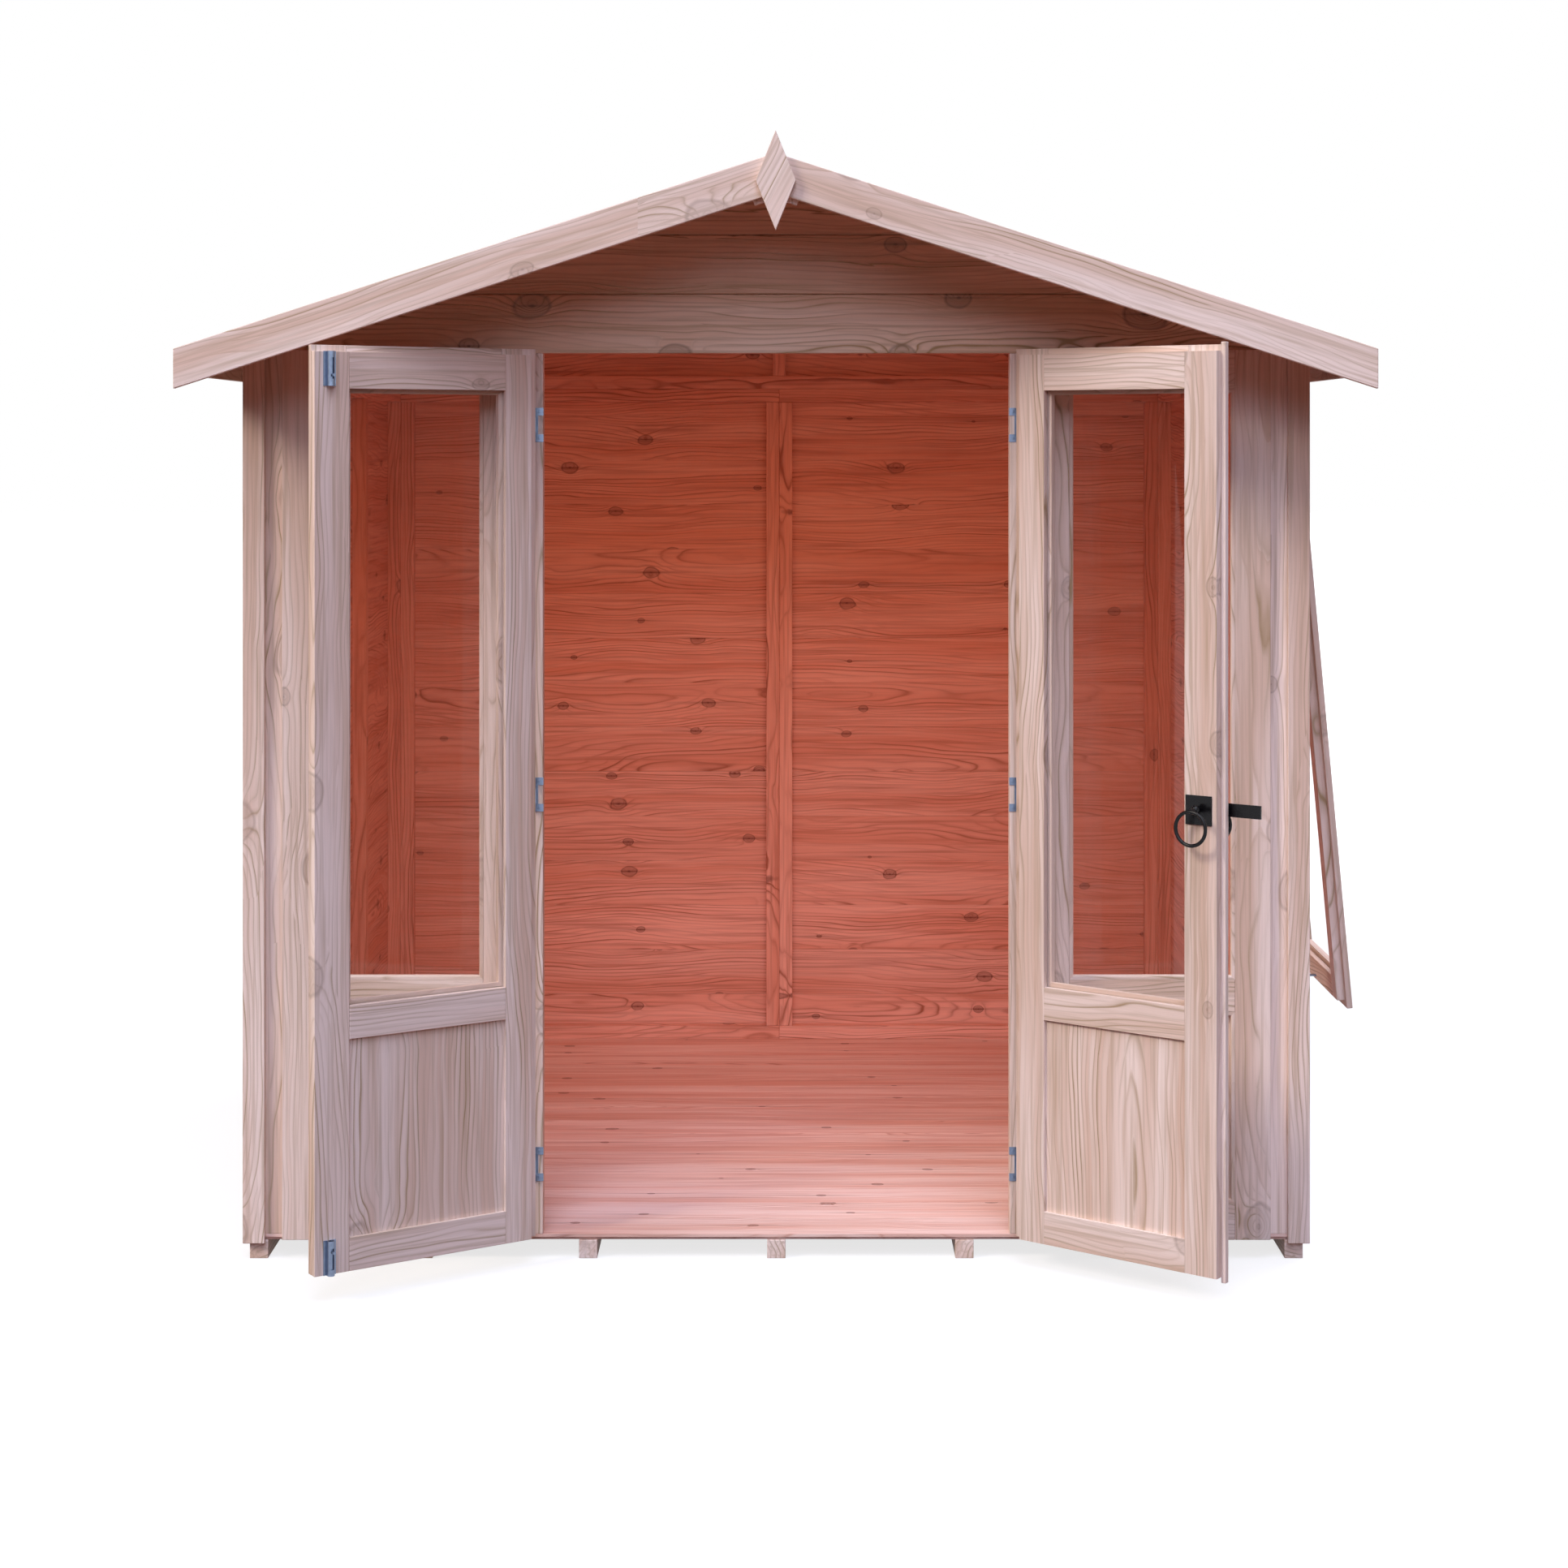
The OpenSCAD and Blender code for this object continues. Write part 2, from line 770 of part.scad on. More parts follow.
// Lower bolt's plate and barrel, standing on z = 0; the slot lets the knob slide
module bolt_plate() {
    difference() {
        union() {
            translate([-bolt_plate_w / 2, -bolt_off, 0]) cube([bolt_plate_w, 1.5, bolt_plate_h]);
            cylinder(d = barrel_d, h = bolt_plate_h);
            translate([-barrel_d / 2, -bolt_off, 0]) cube([barrel_d, bolt_off, bolt_plate_h]);
        }
        translate([0, 0, -1]) cylinder(d = bolt_bore, h = bolt_plate_h + 2);
        translate([-3.2, 0, knob_slot]) cube([6.4, barrel_d, bolt_throw + 15]);
    }
}

module bolt_rod() {
    knob_z = knob_slot + bolt_throw + 8;
    cylinder(d = bolt_d, h = bolt_plate_h - 5);
    translate([0, 0, knob_z]) rotate([-90, 0, 0]) cylinder(d = 5.5, h = barrel_d / 2 + 8);
}

module at_bottom_bolt() {
    swing_left() translate([bolt_x, bolt_y, leaf_bottom]) children();
}

module at_top_bolt() {
    swing_left() translate([bolt_x, bolt_y, leaf_top]) mirror([0, 0, 1]) children();
}

module bolt_plates() {
    color(zinc) {
        at_bottom_bolt() bolt_plate();
        at_top_bolt() bolt_plate();
    }
}

module top_bolt() {
    color(zinc) at_top_bolt() bolt_rod();
}

module bottom_bolt() {
    color(zinc) at_bottom_bolt() bolt_rod();
}

// ---------------------------------------------------------------- side window

sash_axis = [skin_x + lip_t + 2, sash_top + 3];

// Sash parts are drawn shut in a frame whose x runs back along the wall, y into the room
module hang_sash() {
    translate([sash_axis[0], 0, sash_axis[1]]) rotate([0, -sash_open, 0])
        translate([-sash_axis[0], 0, -sash_axis[1]])
            translate([skin_x + lip_t + joint, front_y + sash_y, 0]) rotate([0, 0, 90]) children();
}

sash_in = sash_lap + 3;
sash_z0 = sash_bottom + sash_in;
sash_z1 = wall_h - stud - 6;
sash_stile = sash_stile_w - sash_in;

module window_sash() {
    x0 = sash_in;
    x1 = sash_w - sash_in;
    g0 = x0 + sash_stile;
    g1 = x1 - sash_stile;
    top_lap = sash_top - sash_z1;
    color(wood_out)
        hang_sash()
            difference() {
                union() {
                    layered(x0, g0, sash_z0, sash_z1, out_l = sash_in, out_b = sash_in, out_t = top_lap);
                    layered(g1, x1, sash_z0, sash_z1, out_r = sash_in, out_b = sash_in, out_t = top_lap);
                    layered(g0 + joint, g1 - joint, sash_z0, sash_z0 + sash_stile, out_b = sash_in);
                    layered(g0 + joint, g1 - joint, sash_z1 - sash_stile, sash_z1, out_t = top_lap);
                }
                leaf_grooves(g0, g1, 0, 0, sash_z0 + sash_stile, sash_z1 - sash_stile);
            }
}

module window_glass() {
    reach = groove - joint;
    color(pane)
        hang_sash()
            box([sash_in + sash_stile - reach, glass_y, sash_z0 + sash_stile - reach],
                [sash_w - sash_in - sash_stile + reach, glass_y + glass_t, sash_z1 - sash_stile + reach]);
}

// Two butt hinges between the wall boards and the sash's top edge
module window_hinges() {
    x = sash_axis[0];
    z = sash_axis[1];
    color(zinc)
        for (y = [sash_y + 70, sash_y + sash_w - 70 - 60])
            translate([0, front_y + y, 0]) {
                translate([x, 0, z]) rotate([-90, 0, 0]) cylinder(r = knuckle_r, h = 60);
                box([skin_x, 0, z - 1], [skin_x + plate_t, 60, z + 19]);
                box([skin_x, 0, z - plate_t / 2], [x, 60, z + plate_t / 2]);
            }
}

// Peg stay from the sill rail to the open sash's bottom rail, its reach cut to the whole millimetre
module window_stay() {
    y = front_y + sash_y + sash_w / 2;
    z = hole_z0 + 14;
    back = (joint - leaf_t - 2) / cos(sash_open);
    swing = (sash_axis[1] - z - 3) * tan(sash_open);
    reach = floor(lip_t + 2 + back + swing);
    color(zinc) {
        box([room_x - 6, y - 9, hole_z0], [room_x + 14, y + 9, hole_z0 + 2]);
        translate([room_x + 4, y, hole_z0]) cylinder(d = 7, h = z - hole_z0 + 6);
        box([room_x - 8, y - 6, z], [skin_x + reach, y + 6, z + 3]);
    }
}

// ---------------------------------------------------------------- assembly

floor_bearers();
floor_boards();
front_posts();
side_panel_frames();
side_panel_boards();
side_panel_glass();
front_gable_boards();
front_gable_frame();
left_wall_boards();
left_wall_frame();
right_wall_front_boards();
right_wall_low_boards();
right_wall_rear_boards();
right_wall_frame();
back_wall_boards();
back_wall_frame();
back_gable_boards();
back_gable_frame();
corner_strips();
eave_rails();
ridge_rails();
roof_boards();
roof_felt();
front_barge_boards();
back_barge_boards();
barge_gussets();
finials();
eave_fascias();
left_door_frame();
left_door_panel();
left_door_glass();
right_door_frame();
meeting_strip();
right_door_panel();
right_door_glass();
post_hinges();
left_door_hinges();
right_door_hinges();
latch_plates();
latch_bar();
latch_keep();
bolt_plates();
top_bolt();
bottom_bolt();
window_sash();
window_glass();
window_hinges();
window_stay();
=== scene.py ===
"""Looks of a timber summerhouse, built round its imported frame.

Lengths are in metres and the frame's axes are kept: +X right, +Y back, +Z up. The walls, floor and roof are
covered with their real boards, the frame's own timbers get planed arrises, and every length of timber is cut
from its own place in the tree.
"""

import json
import math
import random
from contextlib import contextmanager

import bmesh
import bpy
from mathutils import Matrix, Vector

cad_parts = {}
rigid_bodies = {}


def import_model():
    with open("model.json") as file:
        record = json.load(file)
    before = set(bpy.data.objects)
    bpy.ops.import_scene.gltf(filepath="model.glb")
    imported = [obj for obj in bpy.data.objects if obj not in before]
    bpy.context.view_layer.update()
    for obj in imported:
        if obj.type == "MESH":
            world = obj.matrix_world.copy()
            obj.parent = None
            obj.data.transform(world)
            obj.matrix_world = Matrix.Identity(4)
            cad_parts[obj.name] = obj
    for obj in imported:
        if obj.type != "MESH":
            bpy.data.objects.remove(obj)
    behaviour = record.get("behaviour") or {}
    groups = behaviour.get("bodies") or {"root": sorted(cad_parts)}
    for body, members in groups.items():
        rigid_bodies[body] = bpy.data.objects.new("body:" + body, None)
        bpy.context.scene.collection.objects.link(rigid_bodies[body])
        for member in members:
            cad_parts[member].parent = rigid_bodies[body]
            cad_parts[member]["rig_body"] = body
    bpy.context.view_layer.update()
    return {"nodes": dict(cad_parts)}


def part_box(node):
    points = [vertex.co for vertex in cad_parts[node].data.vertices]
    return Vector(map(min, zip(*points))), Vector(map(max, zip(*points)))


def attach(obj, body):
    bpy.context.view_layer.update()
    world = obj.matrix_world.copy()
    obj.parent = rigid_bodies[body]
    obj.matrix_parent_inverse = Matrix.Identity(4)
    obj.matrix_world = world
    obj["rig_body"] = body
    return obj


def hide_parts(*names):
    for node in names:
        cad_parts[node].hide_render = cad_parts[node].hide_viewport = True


bl_info = {
    "name": "Timber Summerhouse",
    "version": (1, 0, 0),
    "blender": (4, 5, 0),
    "location": "View3D > Sidebar > Summerhouse",
    "description": "Builds the boards, joinery, ironmongery and finishes of a summerhouse round its frame",
    "category": "Object",
}

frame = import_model()

MM = 0.001
HAIR = 0.001 * MM  # two places closer than this are one
MERGE = 0.02 * MM  # corners of a CAD node's triangles closer than this are merged
SNUG = 0.3 * MM  # room left between pieces that fit into each other
SQUARE = 0.9  # how much of a face's normal points one way, if it is to count as facing that way
ACROSS, BACK, UP = Vector((1, 0, 0)), Vector((0, 1, 0)), Vector((0, 0, 1))


def linear(code):
    """An sRGB hex colour as linear red, green, blue and alpha."""
    shares = [int(code[i : i + 2], 16) / 255 for i in (1, 3, 5)]
    return tuple(s / 12.92 if s <= 0.04045 else ((s + 0.055) / 1.055) ** 2.4 for s in shares) + (1.0,)


# ---------------------------------------------------------------- sizes and colours


def length(name, description, millimetres, low=0.0, high=5000.0):
    """A length that the sidebar shows, with its default given in millimetres."""
    return bpy.props.FloatProperty(
        name=name, description=description, default=millimetres * MM, min=low * MM, max=high * MM,
        precision=4, subtype="DISTANCE", unit="LENGTH",
    )


def shade(name, description, code):
    """A colour that the sidebar shows, with its default given as sRGB hex."""
    return bpy.props.FloatVectorProperty(
        name=name, description=description, default=linear(code), size=4, min=0.0, max=1.0, subtype="COLOR",
    )


class SummerhouseBoards(bpy.types.PropertyGroup):
    """Sizes of the boards and of what is planed on them."""

    cover: length("Board cover", "Height that one shiplap board covers", 117, 60, 200)
    outer_gap: length("Outer gap", "Open joint between two boards on the weather side", 1.6, 0.5, 5)
    tight_gap: length("Tight gap", "Joint between two boards of the floor or roof", 0.4, 0.1, 2)
    lap: length("Lap", "Height of the tongue behind the next board", 6, 2, 12)
    arris: length("Arris", "Width of the rounding on planed timber", 1.4, 0.2, 4)
    board_arris: length("Board arris", "Width of the rounding on a board's weather edges", 1.8, 0.2, 4)
    tight_arris: length("Tight arris", "Width of the rounding on a floor or roof board's edges", 0.5, 0.1, 2)
    bead: length("Glazing bead", "Face width of the beads round glass and panels", 8, 4, 16)
    bead_chamfer: length("Bead moulding", "Width of the moulding on a bead's inner edge", 4.5, 1, 10)


class SummerhouseColours(bpy.types.PropertyGroup):
    """Colours of the finishes."""

    pine: shade("Pine", "Early wood of the planed outside timber", "#f7e5dc")
    pine_line: shade("Pine grain", "Late wood of the outside timber", "#a68b68")
    pine_patch: shade("Pine streak", "Warmer sapwood of the outside timber", "#dbbba8")
    knot: shade("Knot", "Heart of a knot", "#7c5f4c")
    room: shade("Room pine", "Early wood of the timber inside", "#f4bfab")
    room_line: shade("Room pine grain", "Late wood of the timber inside", "#a9654b")
    # The front gable's two colours are the outside pine made darker and warmer. That paints in the shade and
    # the warm bounce light under the roof's overhang, on top of the boards' own slightly redder colour.
    gable: shade("Gable pine", "Early wood of the sheltered front gable", "#eed0b8")
    gable_painted_shade_line: shade("Gable pine grain", "Late wood of the sheltered front gable", "#9c784f")
    deck: shade("Floor pine", "Early wood of the floor boards", "#fadfd5")
    deck_line: shade("Floor pine grain", "Late wood of the floor boards", "#c08570")
    zinc: shade("Zinc", "Bright zinc plating", "#7a879e")
    japan: shade("Black japan", "Stoved black on the latch", "#0b0a0d")
    felt: shade("Felt", "Mineral grit on the roofing felt", "#454a47")
    floor: shade("Studio floor", "Pale studio floor", "#929294")


def boards():
    return bpy.context.scene.summerhouse_boards


def colours():
    return bpy.context.scene.summerhouse_colours


# ---------------------------------------------------------------- selecting and shaping


def deselect():
    bpy.ops.object.select_all(action="DESELECT")


def make_active(piece):
    deselect()
    piece.select_set(True)
    bpy.context.view_layer.objects.active = piece


@contextmanager
def shaping(piece):
    """Edit mode on one piece, with nothing selected at the start."""
    make_active(piece)
    bpy.ops.object.mode_set(mode="EDIT")
    bpy.ops.mesh.select_mode(type="VERT")
    bpy.ops.mesh.select_all(action="DESELECT")
    yield
    bpy.ops.object.mode_set(mode="OBJECT")


def choose(piece, kind, wanted):
    """Selects those verts, edges or faces of a piece in edit mode that are wanted, and says how many."""
    bpy.ops.mesh.select_mode(type={"verts": "VERT", "edges": "EDGE", "faces": "FACE"}[kind])
    bpy.ops.mesh.select_all(action="DESELECT")
    mesh = bmesh.from_edit_mesh(piece.data)
    mesh.normal_update()
    found = [part for part in getattr(mesh, kind) if wanted(part)]
    for part in found:
        part.select_set(True)
    mesh.select_flush_mode()
    bmesh.update_edit_mesh(piece.data)
    return len(found)


def middle(part):
    """Middle of an edge or face."""
    return sum((v.co for v in part.verts), Vector()) / len(part.verts)


def apply_place(piece):
    make_active(piece)
    bpy.ops.object.transform_apply(location=True, rotation=True, scale=True)


def smoothed(piece, crease=20):
    """Shades a piece smooth but for the edges that turn by more than crease, in degrees.

    A planed arris has two facets, whose edges turn by 22.5 degrees or more, so the flats beside it stay flat.
    """
    make_active(piece)
    bpy.ops.object.shade_smooth_by_angle(angle=math.radians(crease))


def block(name, near, far):
    """A block of timber or metal from its near corner to its far one, ready to be shaped."""
    near, far = Vector(near), Vector(far)
    deselect()
    bpy.ops.mesh.primitive_cube_add(size=1, location=(near + far) / 2, scale=far - near)
    piece = bpy.context.active_object
    piece.name = name
    apply_place(piece)
    return piece


def copy_at(piece, matrix):
    """A copy with its own mesh, moved by matrix."""
    twin = bpy.data.objects.new(piece.name, piece.data.copy())
    bpy.context.scene.collection.objects.link(twin)
    twin.data.transform(matrix)
    if matrix.determinant() < 0:
        twin.data.flip_normals()
    return twin


def joined(name, parts):
    """All parts as one piece."""
    deselect()
    for part in parts:
        part.select_set(True)
    bpy.context.view_layer.objects.active = parts[0]
    if len(parts) > 1:
        bpy.ops.object.join()
    piece = bpy.context.active_object
    piece.name = name
    piece.data.name = name
    return piece


def scrap(*parts):
    for part in parts:
        mesh = part.data
        bpy.data.objects.remove(part)
        bpy.data.meshes.remove(mesh)


def cut(piece, at, normal):
    """Saws off what lies on the normal's side of a plane and closes the end."""
    with shaping(piece):
        bpy.ops.mesh.select_all(action="SELECT")
        bpy.ops.mesh.bisect(plane_co=at, plane_no=normal, use_fill=True, clear_outer=True)
    smoothed(piece)


def sawn_through(piece, at, normal):
    """Cuts a piece in two lengths that butt together, each with its own grain later."""
    rest = copy_at(piece, Matrix.Identity(4))
    cut(piece, at, normal)
    cut(rest, at, -Vector(normal))
    return joined(piece.name, [piece, rest])


def ease(piece, width):
    """Takes the arris off every edge that turns by more than 25 degrees."""
    sharp = math.radians(25)
    with shaping(piece):
        if choose(piece, "edges", lambda e: len(e.link_faces) == 2 and e.calc_face_angle() > sharp):
            bpy.ops.mesh.bevel(offset=width, segments=2, profile=0.5, clamp_overlap=True)


def islands(mesh):
    """The connected lengths of timber in a mesh, as lists of faces."""
    left = set(mesh.faces)
    while left:
        first = min(left, key=lambda f: f.index)
        group, stack = [], [first]
        left.discard(first)
        while stack:
            face = stack.pop()
            group.append(face)
            for edge in face.edges:
                for other in edge.link_faces:
                    if other in left:
                        left.discard(other)
                        stack.append(other)
        yield group


WAYS = Vector((0.9, 0.5, 1.1))  # timber is taken to point up, right or back, and not the other way


def own_axes(faces, along=None):
    """Along, across and through a length of timber, from its longest edge and broadest face.

    Sizes are rounded, so that of equal ones the first is taken.
    """
    broad = max(faces, key=lambda f: round(f.calc_area(), 7))
    through = broad.normal.copy()
    if along is None:
        longest = max((e for f in faces for e in f.edges), key=lambda e: round(e.calc_length(), 5))
        along = (longest.verts[1].co - longest.verts[0].co).normalized()
        if along.dot(WAYS) < 0:
            along = -along
    else:
        along = Vector(along).normalized()
    across = through.cross(along).normalized()
    return along, across, through


def lay_grain(piece, along=None):
    """Gives each length of timber its own place in the tree: metres along, across and through the board.

    The attribute grain holds that place, tree says where the tree's pith lay, and tone is a shade of its own.
    The pith lay up to 90 m along the tree, 20 to 150 mm to one side and 15 to 60 mm beneath.
    """
    chance = random.Random("timber " + piece.name)
    mesh = bmesh.new()
    mesh.from_mesh(piece.data)
    mesh.faces.ensure_lookup_table()
    mesh.normal_update()
    grain = mesh.verts.layers.float_vector.new("grain")
    tree = mesh.verts.layers.float_vector.new("tree")
    tone = mesh.verts.layers.float.new("tone")
    for faces in islands(mesh):
        u, v, w = own_axes(faces, along)
        verts = {vert for face in faces for vert in face.verts}
        centre = sum((vert.co for vert in verts), Vector()) / len(verts)
        beside = chance.choice((-1, 1)) * chance.triangular(20, 150, 95)
        pith = Vector((round(chance.uniform(0, 90), 3), beside, chance.uniform(15, 60)))
        own_tone = chance.random()
        for vert in verts:
            p = vert.co - centre
            vert[grain] = Vector((u.dot(p), v.dot(p), w.dot(p)))
            vert[tree] = pith
            vert[tone] = own_tone
    mesh.to_mesh(piece.data)
    mesh.free()


def dressed(node, arris):
    """A copy of a CAD node with its triangles merged into flat faces and its arrises taken off."""
    piece = bpy.data.objects.new(node + "_dressed", frame["nodes"][node].data.copy())
    piece.data.materials.clear()
    bpy.context.scene.collection.objects.link(piece)
    with shaping(piece):
        bpy.ops.mesh.select_all(action="SELECT")
        bpy.ops.mesh.remove_doubles(threshold=MERGE)
        bpy.ops.mesh.dissolve_limited(angle_limit=math.radians(0.6))
    ease(piece, arris)
    smoothed(piece)
    return piece


# ---------------------------------------------------------------- handing over


def body_of(node):
    return frame["nodes"][node]["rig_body"]


def settle(piece, name, body, slot, finish, replaces=()):
    """Names a finished piece, gives it its finish, says what it rides on, and hides the CAD nodes that it
    stands for.
    """
    piece.name = name
    piece.data.name = name
    piece.data.materials.clear()
    piece.data.materials.append(finish)
    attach(piece, body)
    if replaces:
        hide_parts(*replaces)


def timber_from(node, inside=False, arris=None, along=None, cuts=()):
    """A CAD node's timbers with planed arrises and their own grain, standing for that node."""
    piece = dressed(node, boards().arris if arris is None else arris)
    for at, normal in cuts:
        piece = sawn_through(piece, at, normal)
    piece.name = node + "_timber"
    lay_grain(piece, along)
    slot, finish = ("inside_wood", "planed_pine_room") if inside else ("outside_wood", "planed_pine_outside")
    settle(piece, node + "_timber", body_of(node), slot, finish_of(finish), [node])


def show_node(node, finish):
    """Gives a CAD node that stays in view its finish."""
    piece = frame["nodes"][node]
    piece.data.materials.clear()
    piece.data.materials.append(finish_of(finish))


# ---------------------------------------------------------------- finishes

MATHS, VECTOR, RANGE = "ShaderNodeMath", "ShaderNodeVectorMath", "ShaderNodeMapRange"
NOISE, MIX, PRINCIPLED = "ShaderNodeTexNoise", "ShaderNodeMix", "ShaderNodeBsdfPrincipled"
TO_MM = 1000.0  # millimetres in a metre


def add(tree, kind, inputs=None, **settings):
    """Adds a node with its settings. An input is a value, a socket, or a node, whose first output is used."""
    node = tree.nodes.new(kind)
    for name, value in settings.items():
        setattr(node, name, value)
    for name, value in (inputs or {}).items():
        if isinstance(value, bpy.types.Node):
            value = value.outputs[0]
        if isinstance(value, bpy.types.NodeSocket):
            tree.links.new(value, node.inputs[name])
        else:
            node.inputs[name].default_value = value
    return node


def new_finish(name):
    """An empty material and its node tree."""
    finish = bpy.data.materials.new(name)
    finish.use_nodes = True
    finish.node_tree.nodes.clear()
    return finish, finish.node_tree


def set_stops(ramp, stops):
    """Places a colour ramp's stops, each a position and a grey."""
    band = ramp.color_ramp
    while len(band.elements) < len(stops):
        band.elements.new(0.5)
    for element, (position, grey) in zip(band.elements, stops):
        element.position = position
        element.color = (grey, grey, grey, 1)


def planed_pine(name, colour, ring_mm=9.0, knot_share=0.5, knot_mm=26.0, knot_dark=0.25, contrast=1.0):
    """Planed pine, sawn through and through and left unsealed.

    Early wood is pale and soft. Late wood is a thin darker line that stands a little proud after planing. The
    lines are the tree's growth rings, cut where the board lay in the tree, so that they run straight near its
    edges, arch over its middle and close round knots.
    """
    early, late, patch, heart = (tuple(part) for part in colour)
    finish, tree = new_finish(name)
    place = add(tree, "ShaderNodeAttribute", attribute_name="grain").outputs["Vector"]
    pith = add(tree, "ShaderNodeAttribute", attribute_name="tree").outputs["Vector"]
    own_tone = add(tree, "ShaderNodeAttribute", attribute_name="tone").outputs["Fac"]
    at = add(tree, "ShaderNodeSeparateXYZ", {0: place})
    pith_at = add(tree, "ShaderNodeSeparateXYZ", {0: pith})
    seed = pith_at.outputs["X"]
    apart = add(tree, "ShaderNodeCombineXYZ", {0: seed, 1: seed, 2: 0.0})
    spot = add(tree, VECTOR, {0: place, 1: apart}, operation="ADD")

    # Each noise has so many waves to the metre along, across and through the board.
    noises = {}
    for noise, waves, detail in (
        ("bend", (1.5, 1.0, 1.0), 1.5),
        ("lumps", (290 / knot_mm, 520 / knot_mm, 520 / knot_mm), 1.0),
        ("waver", (4.0, 24.0, 24.0), 1.5),
        ("fade", (1.6, 17.0, 17.0), 1.5),
        ("strand", (3.2, 125.0, 125.0), 1.5),
        ("band", (0.8, 15.0, 15.0), 1.5),
        ("fibre", (14.0, 560.0, 560.0), 2.0),
    ):
        drawn_out = add(tree, VECTOR, {0: spot, 1: waves}, operation="MULTIPLY")
        noises[noise] = add(tree, NOISE, {"Vector": drawn_out, "Scale": 1.0, "Detail": detail})

    # Distance in mm from the pith, whose line wanders by some 20 mm over a metre of the trunk.
    wander = add(tree, "ShaderNodeSeparateColor", {0: noises["bend"].outputs["Color"]})
    aside = add(tree, RANGE, {0: wander.outputs["Red"], 1: 0.3, 2: 0.7, 3: -22.0, 4: 22.0}, clamp=False)
    below = add(tree, RANGE, {0: wander.outputs["Green"], 1: 0.3, 2: 0.7, 3: -26.0, 4: 26.0}, clamp=False)
    side_pith = add(tree, MATHS, {0: aside, 1: pith_at.outputs["Y"]}, operation="ADD")
    deep_pith = add(tree, MATHS, {0: below, 1: pith_at.outputs["Z"]}, operation="ADD")
    side = add(tree, MATHS, {0: at.outputs["Y"], 1: TO_MM, 2: side_pith}, operation="MULTIPLY_ADD")
    deep = add(tree, MATHS, {0: at.outputs["Z"], 1: TO_MM, 2: deep_pith}, operation="MULTIPLY_ADD")
    from_pith = add(tree, "ShaderNodeCombineXYZ", {0: side, 1: deep, 2: 0.0})
    radius = add(tree, VECTOR, {0: from_pith}, operation="LENGTH").outputs["Value"]

    # A knot stands in some of the cells 400 mm long and 110 mm wide. It is nearly half as long again as it is
    # wide, a little lumpy, and pushes the trunk's rings aside, by over twice its size at its heart.
    cell_long, cell_wide, squeeze = 0.40, 0.11, 0.69
    cells = add(tree, VECTOR, {0: spot, 1: (1 / cell_long, 1 / cell_wide, 0.0)}, operation="MULTIPLY")
    site = add(
        tree, "ShaderNodeTexVoronoi", {"Vector": cells, "Scale": 1.0, "Randomness": 0.7},
        voronoi_dimensions="2D",
    )
    off_cell = add(tree, VECTOR, {0: cells, 1: site.outputs["Position"]}, operation="SUBTRACT")
    cell_mm = (cell_long * squeeze * TO_MM, cell_wide * TO_MM, 0.0)
    off_mm = add(tree, VECTOR, {0: off_cell, 1: cell_mm}, operation="MULTIPLY")
    round_off = add(tree, VECTOR, {0: off_mm}, operation="LENGTH").outputs["Value"]
    lump = add(tree, MATHS, {0: noises["lumps"], 1: 0.8, 2: 0.6}, operation="MULTIPLY_ADD")
    off = add(tree, MATHS, {0: round_off, 1: lump}, operation="MULTIPLY")
    draw = add(tree, "ShaderNodeSeparateColor", {0: site.outputs["Color"]})
    here = add(tree, MATHS, {0: draw.outputs["Red"], 1: knot_share}, operation="LESS_THAN")
    size = add(tree, RANGE, {0: draw.outputs["Green"], 3: knot_mm * 0.25, 4: knot_mm * 1.2})
    reach = add(tree, MATHS, {0: off, 1: size}, operation="DIVIDE")
    faded = add(tree, MATHS, {0: reach, 1: -0.9}, operation="MULTIPLY")
    swell = add(tree, MATHS, {0: faded}, operation="EXPONENT")
    swell_mm = add(tree, MATHS, {0: swell, 1: size}, operation="MULTIPLY")
    push = add(tree, MATHS, {0: here, 1: 2.4}, operation="MULTIPLY")

    # Rings are ring_mm apart. The line in each is thin and its strength changes from year to year.
    wavered = add(tree, MATHS, {0: noises["waver"], 1: 22.0, 2: radius}, operation="MULTIPLY_ADD")
    pushed = add(tree, MATHS, {0: swell_mm, 1: push, 2: wavered}, operation="MULTIPLY_ADD")
    years = add(tree, MATHS, {0: pushed, 1: ring_mm}, operation="DIVIDE")
    whole = add(tree, MATHS, {0: years}, operation="FLOOR")
    year = add(tree, MATHS, {0: years, 1: whole}, operation="SUBTRACT")
    late_wood = add(tree, "ShaderNodeValToRGB", {0: year})
    set_stops(late_wood, [(0.0, 0.25), (0.12, 0.04), (0.45, 0.0), (0.72, 0.35), (0.88, 1.0), (1.0, 0.25)])
    year_seed = add(tree, MATHS, {0: whole, 1: seed}, operation="ADD")
    season = add(tree, "ShaderNodeTexWhiteNoise", {"W": year_seed}, noise_dimensions="1D").outputs["Value"]
    strength = add(tree, MATHS, {0: season, 1: 0.75, 2: 0.25}, operation="MULTIPLY_ADD")
    fading = add(tree, RANGE, {0: noises["fade"], 1: 0.36, 2: 0.64, 3: 0.25 * contrast, 4: contrast})
    force = add(tree, MATHS, {0: strength, 1: fading}, operation="MULTIPLY")
    ringed = add(tree, MATHS, {0: late_wood, 1: force}, operation="MULTIPLY")

    # Strands of darker fibre, 4 to 8 mm wide, run between the rings.
    strands = add(tree, RANGE, {0: noises["strand"], 1: 0.48, 2: 0.74, 3: 0.0, 4: 0.40 * contrast})
    line = add(tree, MATHS, {0: ringed, 1: strands}, operation="MAXIMUM")

